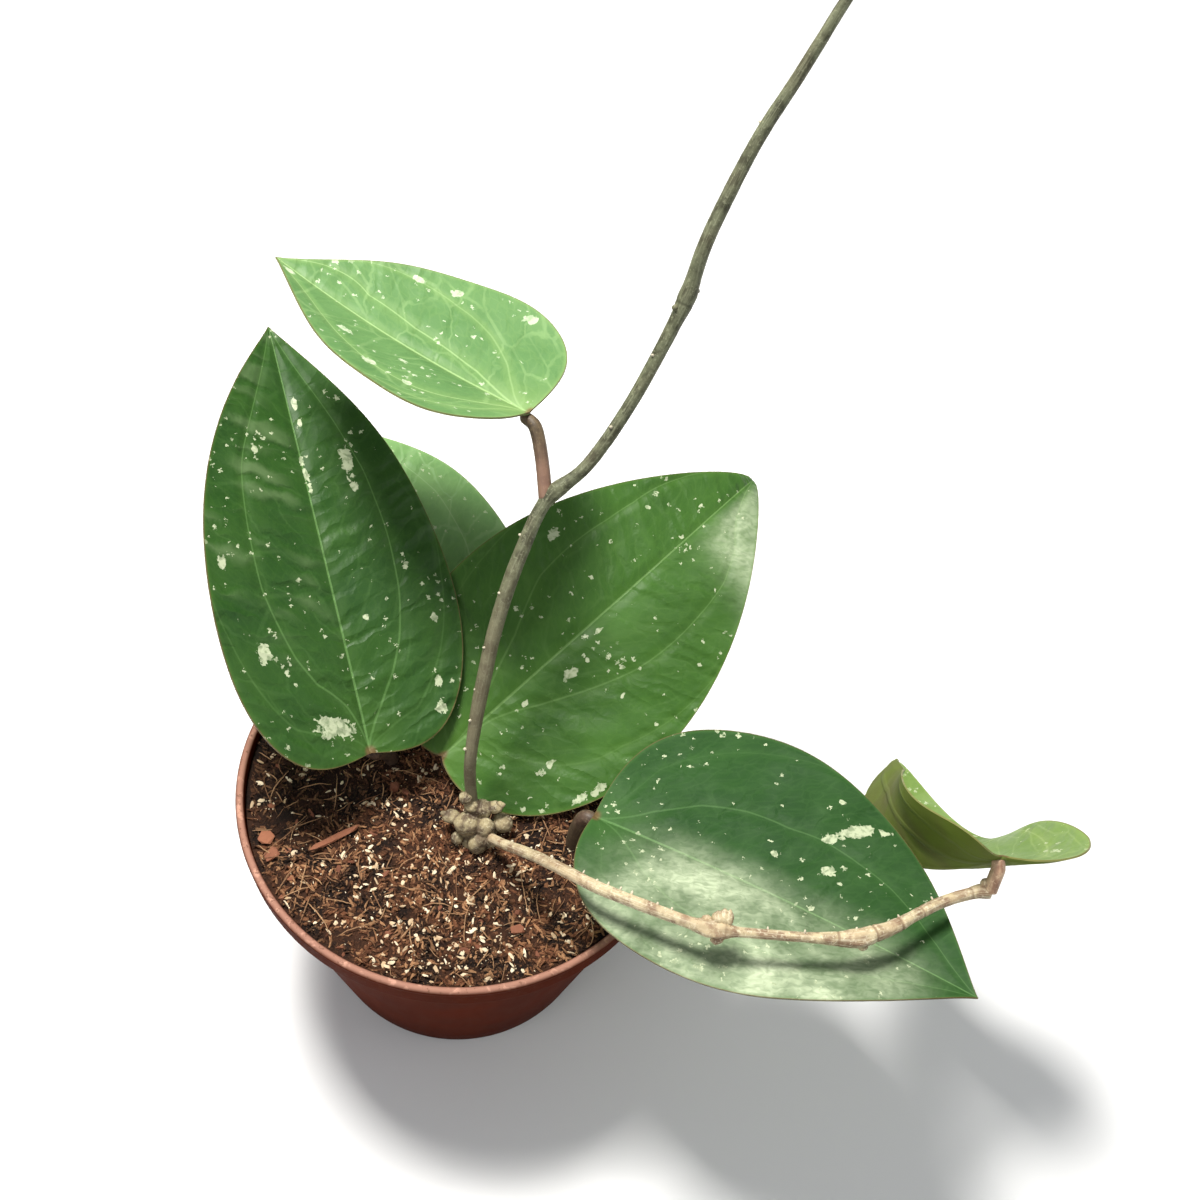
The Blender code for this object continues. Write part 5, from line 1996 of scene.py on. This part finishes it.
LEAVES = (
    Leaf(
        node="leaf_left", blade=LEFT_BLADE,
        upper=LeafSkin(
            "left_leaf_face", green=(0.032, 0.092, 0.013), deep=(0.011, 0.048, 0.007),
            fresh=(0.055, 0.13, 0.02), vein=(0.12, 0.24, 0.07), vein_show=0.7, net_show=0.1, crest=0.6,
            quilt=0.0007, seed=1.3,
        ),
        under=SOFT_BACK, stalk=BROWN_STALK, slot=Slot.DARK_LEAF, seed=1,
    ),
    Leaf(
        node="leaf_centre", blade=CENTRE_BLADE,
        upper=LeafSkin(
            "centre_leaf_face", green=(0.053, 0.140, 0.019), deep=(0.020, 0.070, 0.008),
            fresh=(0.085, 0.185, 0.028), vein=(0.15, 0.27, 0.08), vein_show=0.55, net_show=0.08,
            fleck_limit=0.78, painted_sheen=0.95, painted_sheen_side=(0, 4), painted_sheen_from=(0.66, 0.86), painted_sheen_to=(0.93, 1),
            quilt=0.0006, seed=4.7,
        ),
        under=SOFT_BACK, stalk=BROWN_STALK, slot=Slot.MID_LEAF, seed=2,
    ),
    Leaf(
        node="leaf_front", blade=FRONT_BLADE,
        upper=LeafSkin(
            "front_leaf_face", green=(0.028, 0.084, 0.018), deep=(0.011, 0.045, 0.009),
            fresh=(0.055, 0.135, 0.032), vein=(0.12, 0.24, 0.08), vein_show=0.6, inner_show=0.45,
            outer_show=0.12, net_show=0.05, fleck_limit=0.72, painted_sheen=0.85, painted_sheen_side=(-9, 8),
            painted_sheen_from=(0.03, 0.34), shine=0.12, rough=0.5, seed=8.1,
        ),
        under=SOFT_BACK, stalk=BROWN_STALK, slot=Slot.DARK_LEAF, seed=3,
    ),
    Leaf(
        node="leaf_upper", blade=UPPER_BLADE,
        upper=LeafSkin(
            "upper_leaf_face", green=(0.135, 0.262, 0.09), deep=(0.068, 0.17, 0.048),
            fresh=(0.22, 0.35, 0.11), vein=(0.34, 0.50, 0.21), fleck=(0.58, 0.64, 0.46), vein_show=0.7,
            inner_show=0.75, outer_show=0.4, net_show=0.22, halo=0.25, fleck_limit=0.76, fleck_show=0.75,
            seed=2.9,
        ),
        under=SOFT_BACK, stalk=PINK_STALK, slot=Slot.PALE_LEAF, seed=4,
    ),
    Leaf(
        node="leaf_far", blade=FAR_BLADE,
        upper=LeafSkin(
            "far_leaf_face", green=(0.185, 0.28, 0.068), deep=(0.10, 0.19, 0.04), fresh=(0.26, 0.36, 0.08),
            vein=(0.34, 0.43, 0.16), inner_show=0.8, outer_show=0.4, net_show=0.25, halo=0.25, seed=6.2,
        ),
        under=OLIVE_BACK, stalk=PALE_STALK, slot=Slot.PALE_LEAF, seed=5,
    ),
    Leaf(
        node="leaf_rear", blade=REAR_BLADE,
        upper=LeafSkin(
            # Greens set far paler than the other leaves as painted light, to offset the shade this leaf sits
            # in behind them
            "rear_leaf_face", green=(0.21, 0.375, 0.135), deep=(0.12, 0.25, 0.08), fresh=(0.27, 0.44, 0.16),
            vein=(0.34, 0.50, 0.25), net_show=0.3, fleck_limit=0.5, seed=7.7,
        ),
        under=SOFT_BACK, stalk=BROWN_STALK, slot=Slot.PALE_LEAF, seed=6,
    ),
)


def build_vines() -> list[Piece]:
    """Make the tall vine and the trailing vine."""
    draw = random.Random(17)
    tall_nubs = tuple(
        Nub(share, draw.uniform(150, 210), draw.uniform(0.5, 0.9), draw.uniform(0.28, 0.42))
        for share in TALL_NUBS_AT
    ) + (Nub(0.613, -40, 1.9, 1.25), Nub(0.617, -40, 3.3, 0.75), Nub(0.600, 165, 0.9, 0.75))
    tall = Stem(
        "tall_vine_stem", TALL_ROUTE, TALL_RADII, GREY_BARK, steps=300, sides=28, roughness=0.06,
        swellings=(Swelling(0.385, 0.7, 3.2, 0.12), Swelling(0.611, 0.75, 3.6, 0.12)),
        scars=((0.395, 0.12), (0.606, 0.14), (0.622, 0.12)), nubs=tall_nubs, seed=3,
    ).build()
    place_in_frame(tall, "tall_vine")
    trail_nubs = tuple(
        Nub(share, draw.uniform(110, 160), draw.uniform(0.5, 1.0), draw.uniform(0.25, 0.38))
        for share in TRAIL_NUBS_AT
    ) + (
        Nub(0.521, 140, 1.7, 1.75), Nub(0.529, 135, 2.5, 1.45), Nub(0.5355, 128, 2.9, 1.0),
        Nub(0.519, -60, 1.2, 1.5), Nub(0.527, -50, 1.0, 1.1),
        Nub(0.498, 165, 0.9, 1.3), Nub(0.753, -60, 0.9, 1.3), Nub(0.99, 120, 1.4, 1.3),
    )
    trail = Stem(
        "trailing_vine_stem", TRAIL_ROUTE, TRAIL_RADII, TAN_BARK, steps=240, sides=30, roughness=0.07,
        swellings=(
            Swelling(0.505, 1.3, 2.8, 0.5), Swelling(0.528, 1.0, 2.2, 0.45), Swelling(0.752, 1.35, 6.2, 0.25),
            Swelling(0.825, 0.3, 1.8, 0.12), Swelling(0.985, 0.5, 2.6, 0.25),
        ),
        scars=((0.535, 0.14), (0.712, 0.12), (0.775, 0.2), (0.825, 0.18), (0.87, 0.1), (0.965, 0.14)),
        nubs=trail_nubs, seed=5,
    ).build()
    place_in_frame(trail, "trailing_vine")
    return [tall, trail]


def main() -> None:
    """Build the studio and every piece of the plant in order, and report each through logging."""
    logging.basicConfig(level=logging.INFO, format="%(name)s: %(message)s")
    Studio().build()
    pieces = [Pot().build()]
    pieces += Soil().build()
    pieces.append(Crown(CROWN_BARK).build())
    pieces += build_vines()
    for leaf in LEAVES:
        pieces += leaf.build()
    for piece in pieces:
        log.info("%s: %d faces", piece.name, len(piece.data.polygons))


if __name__ == "__main__":
    main()
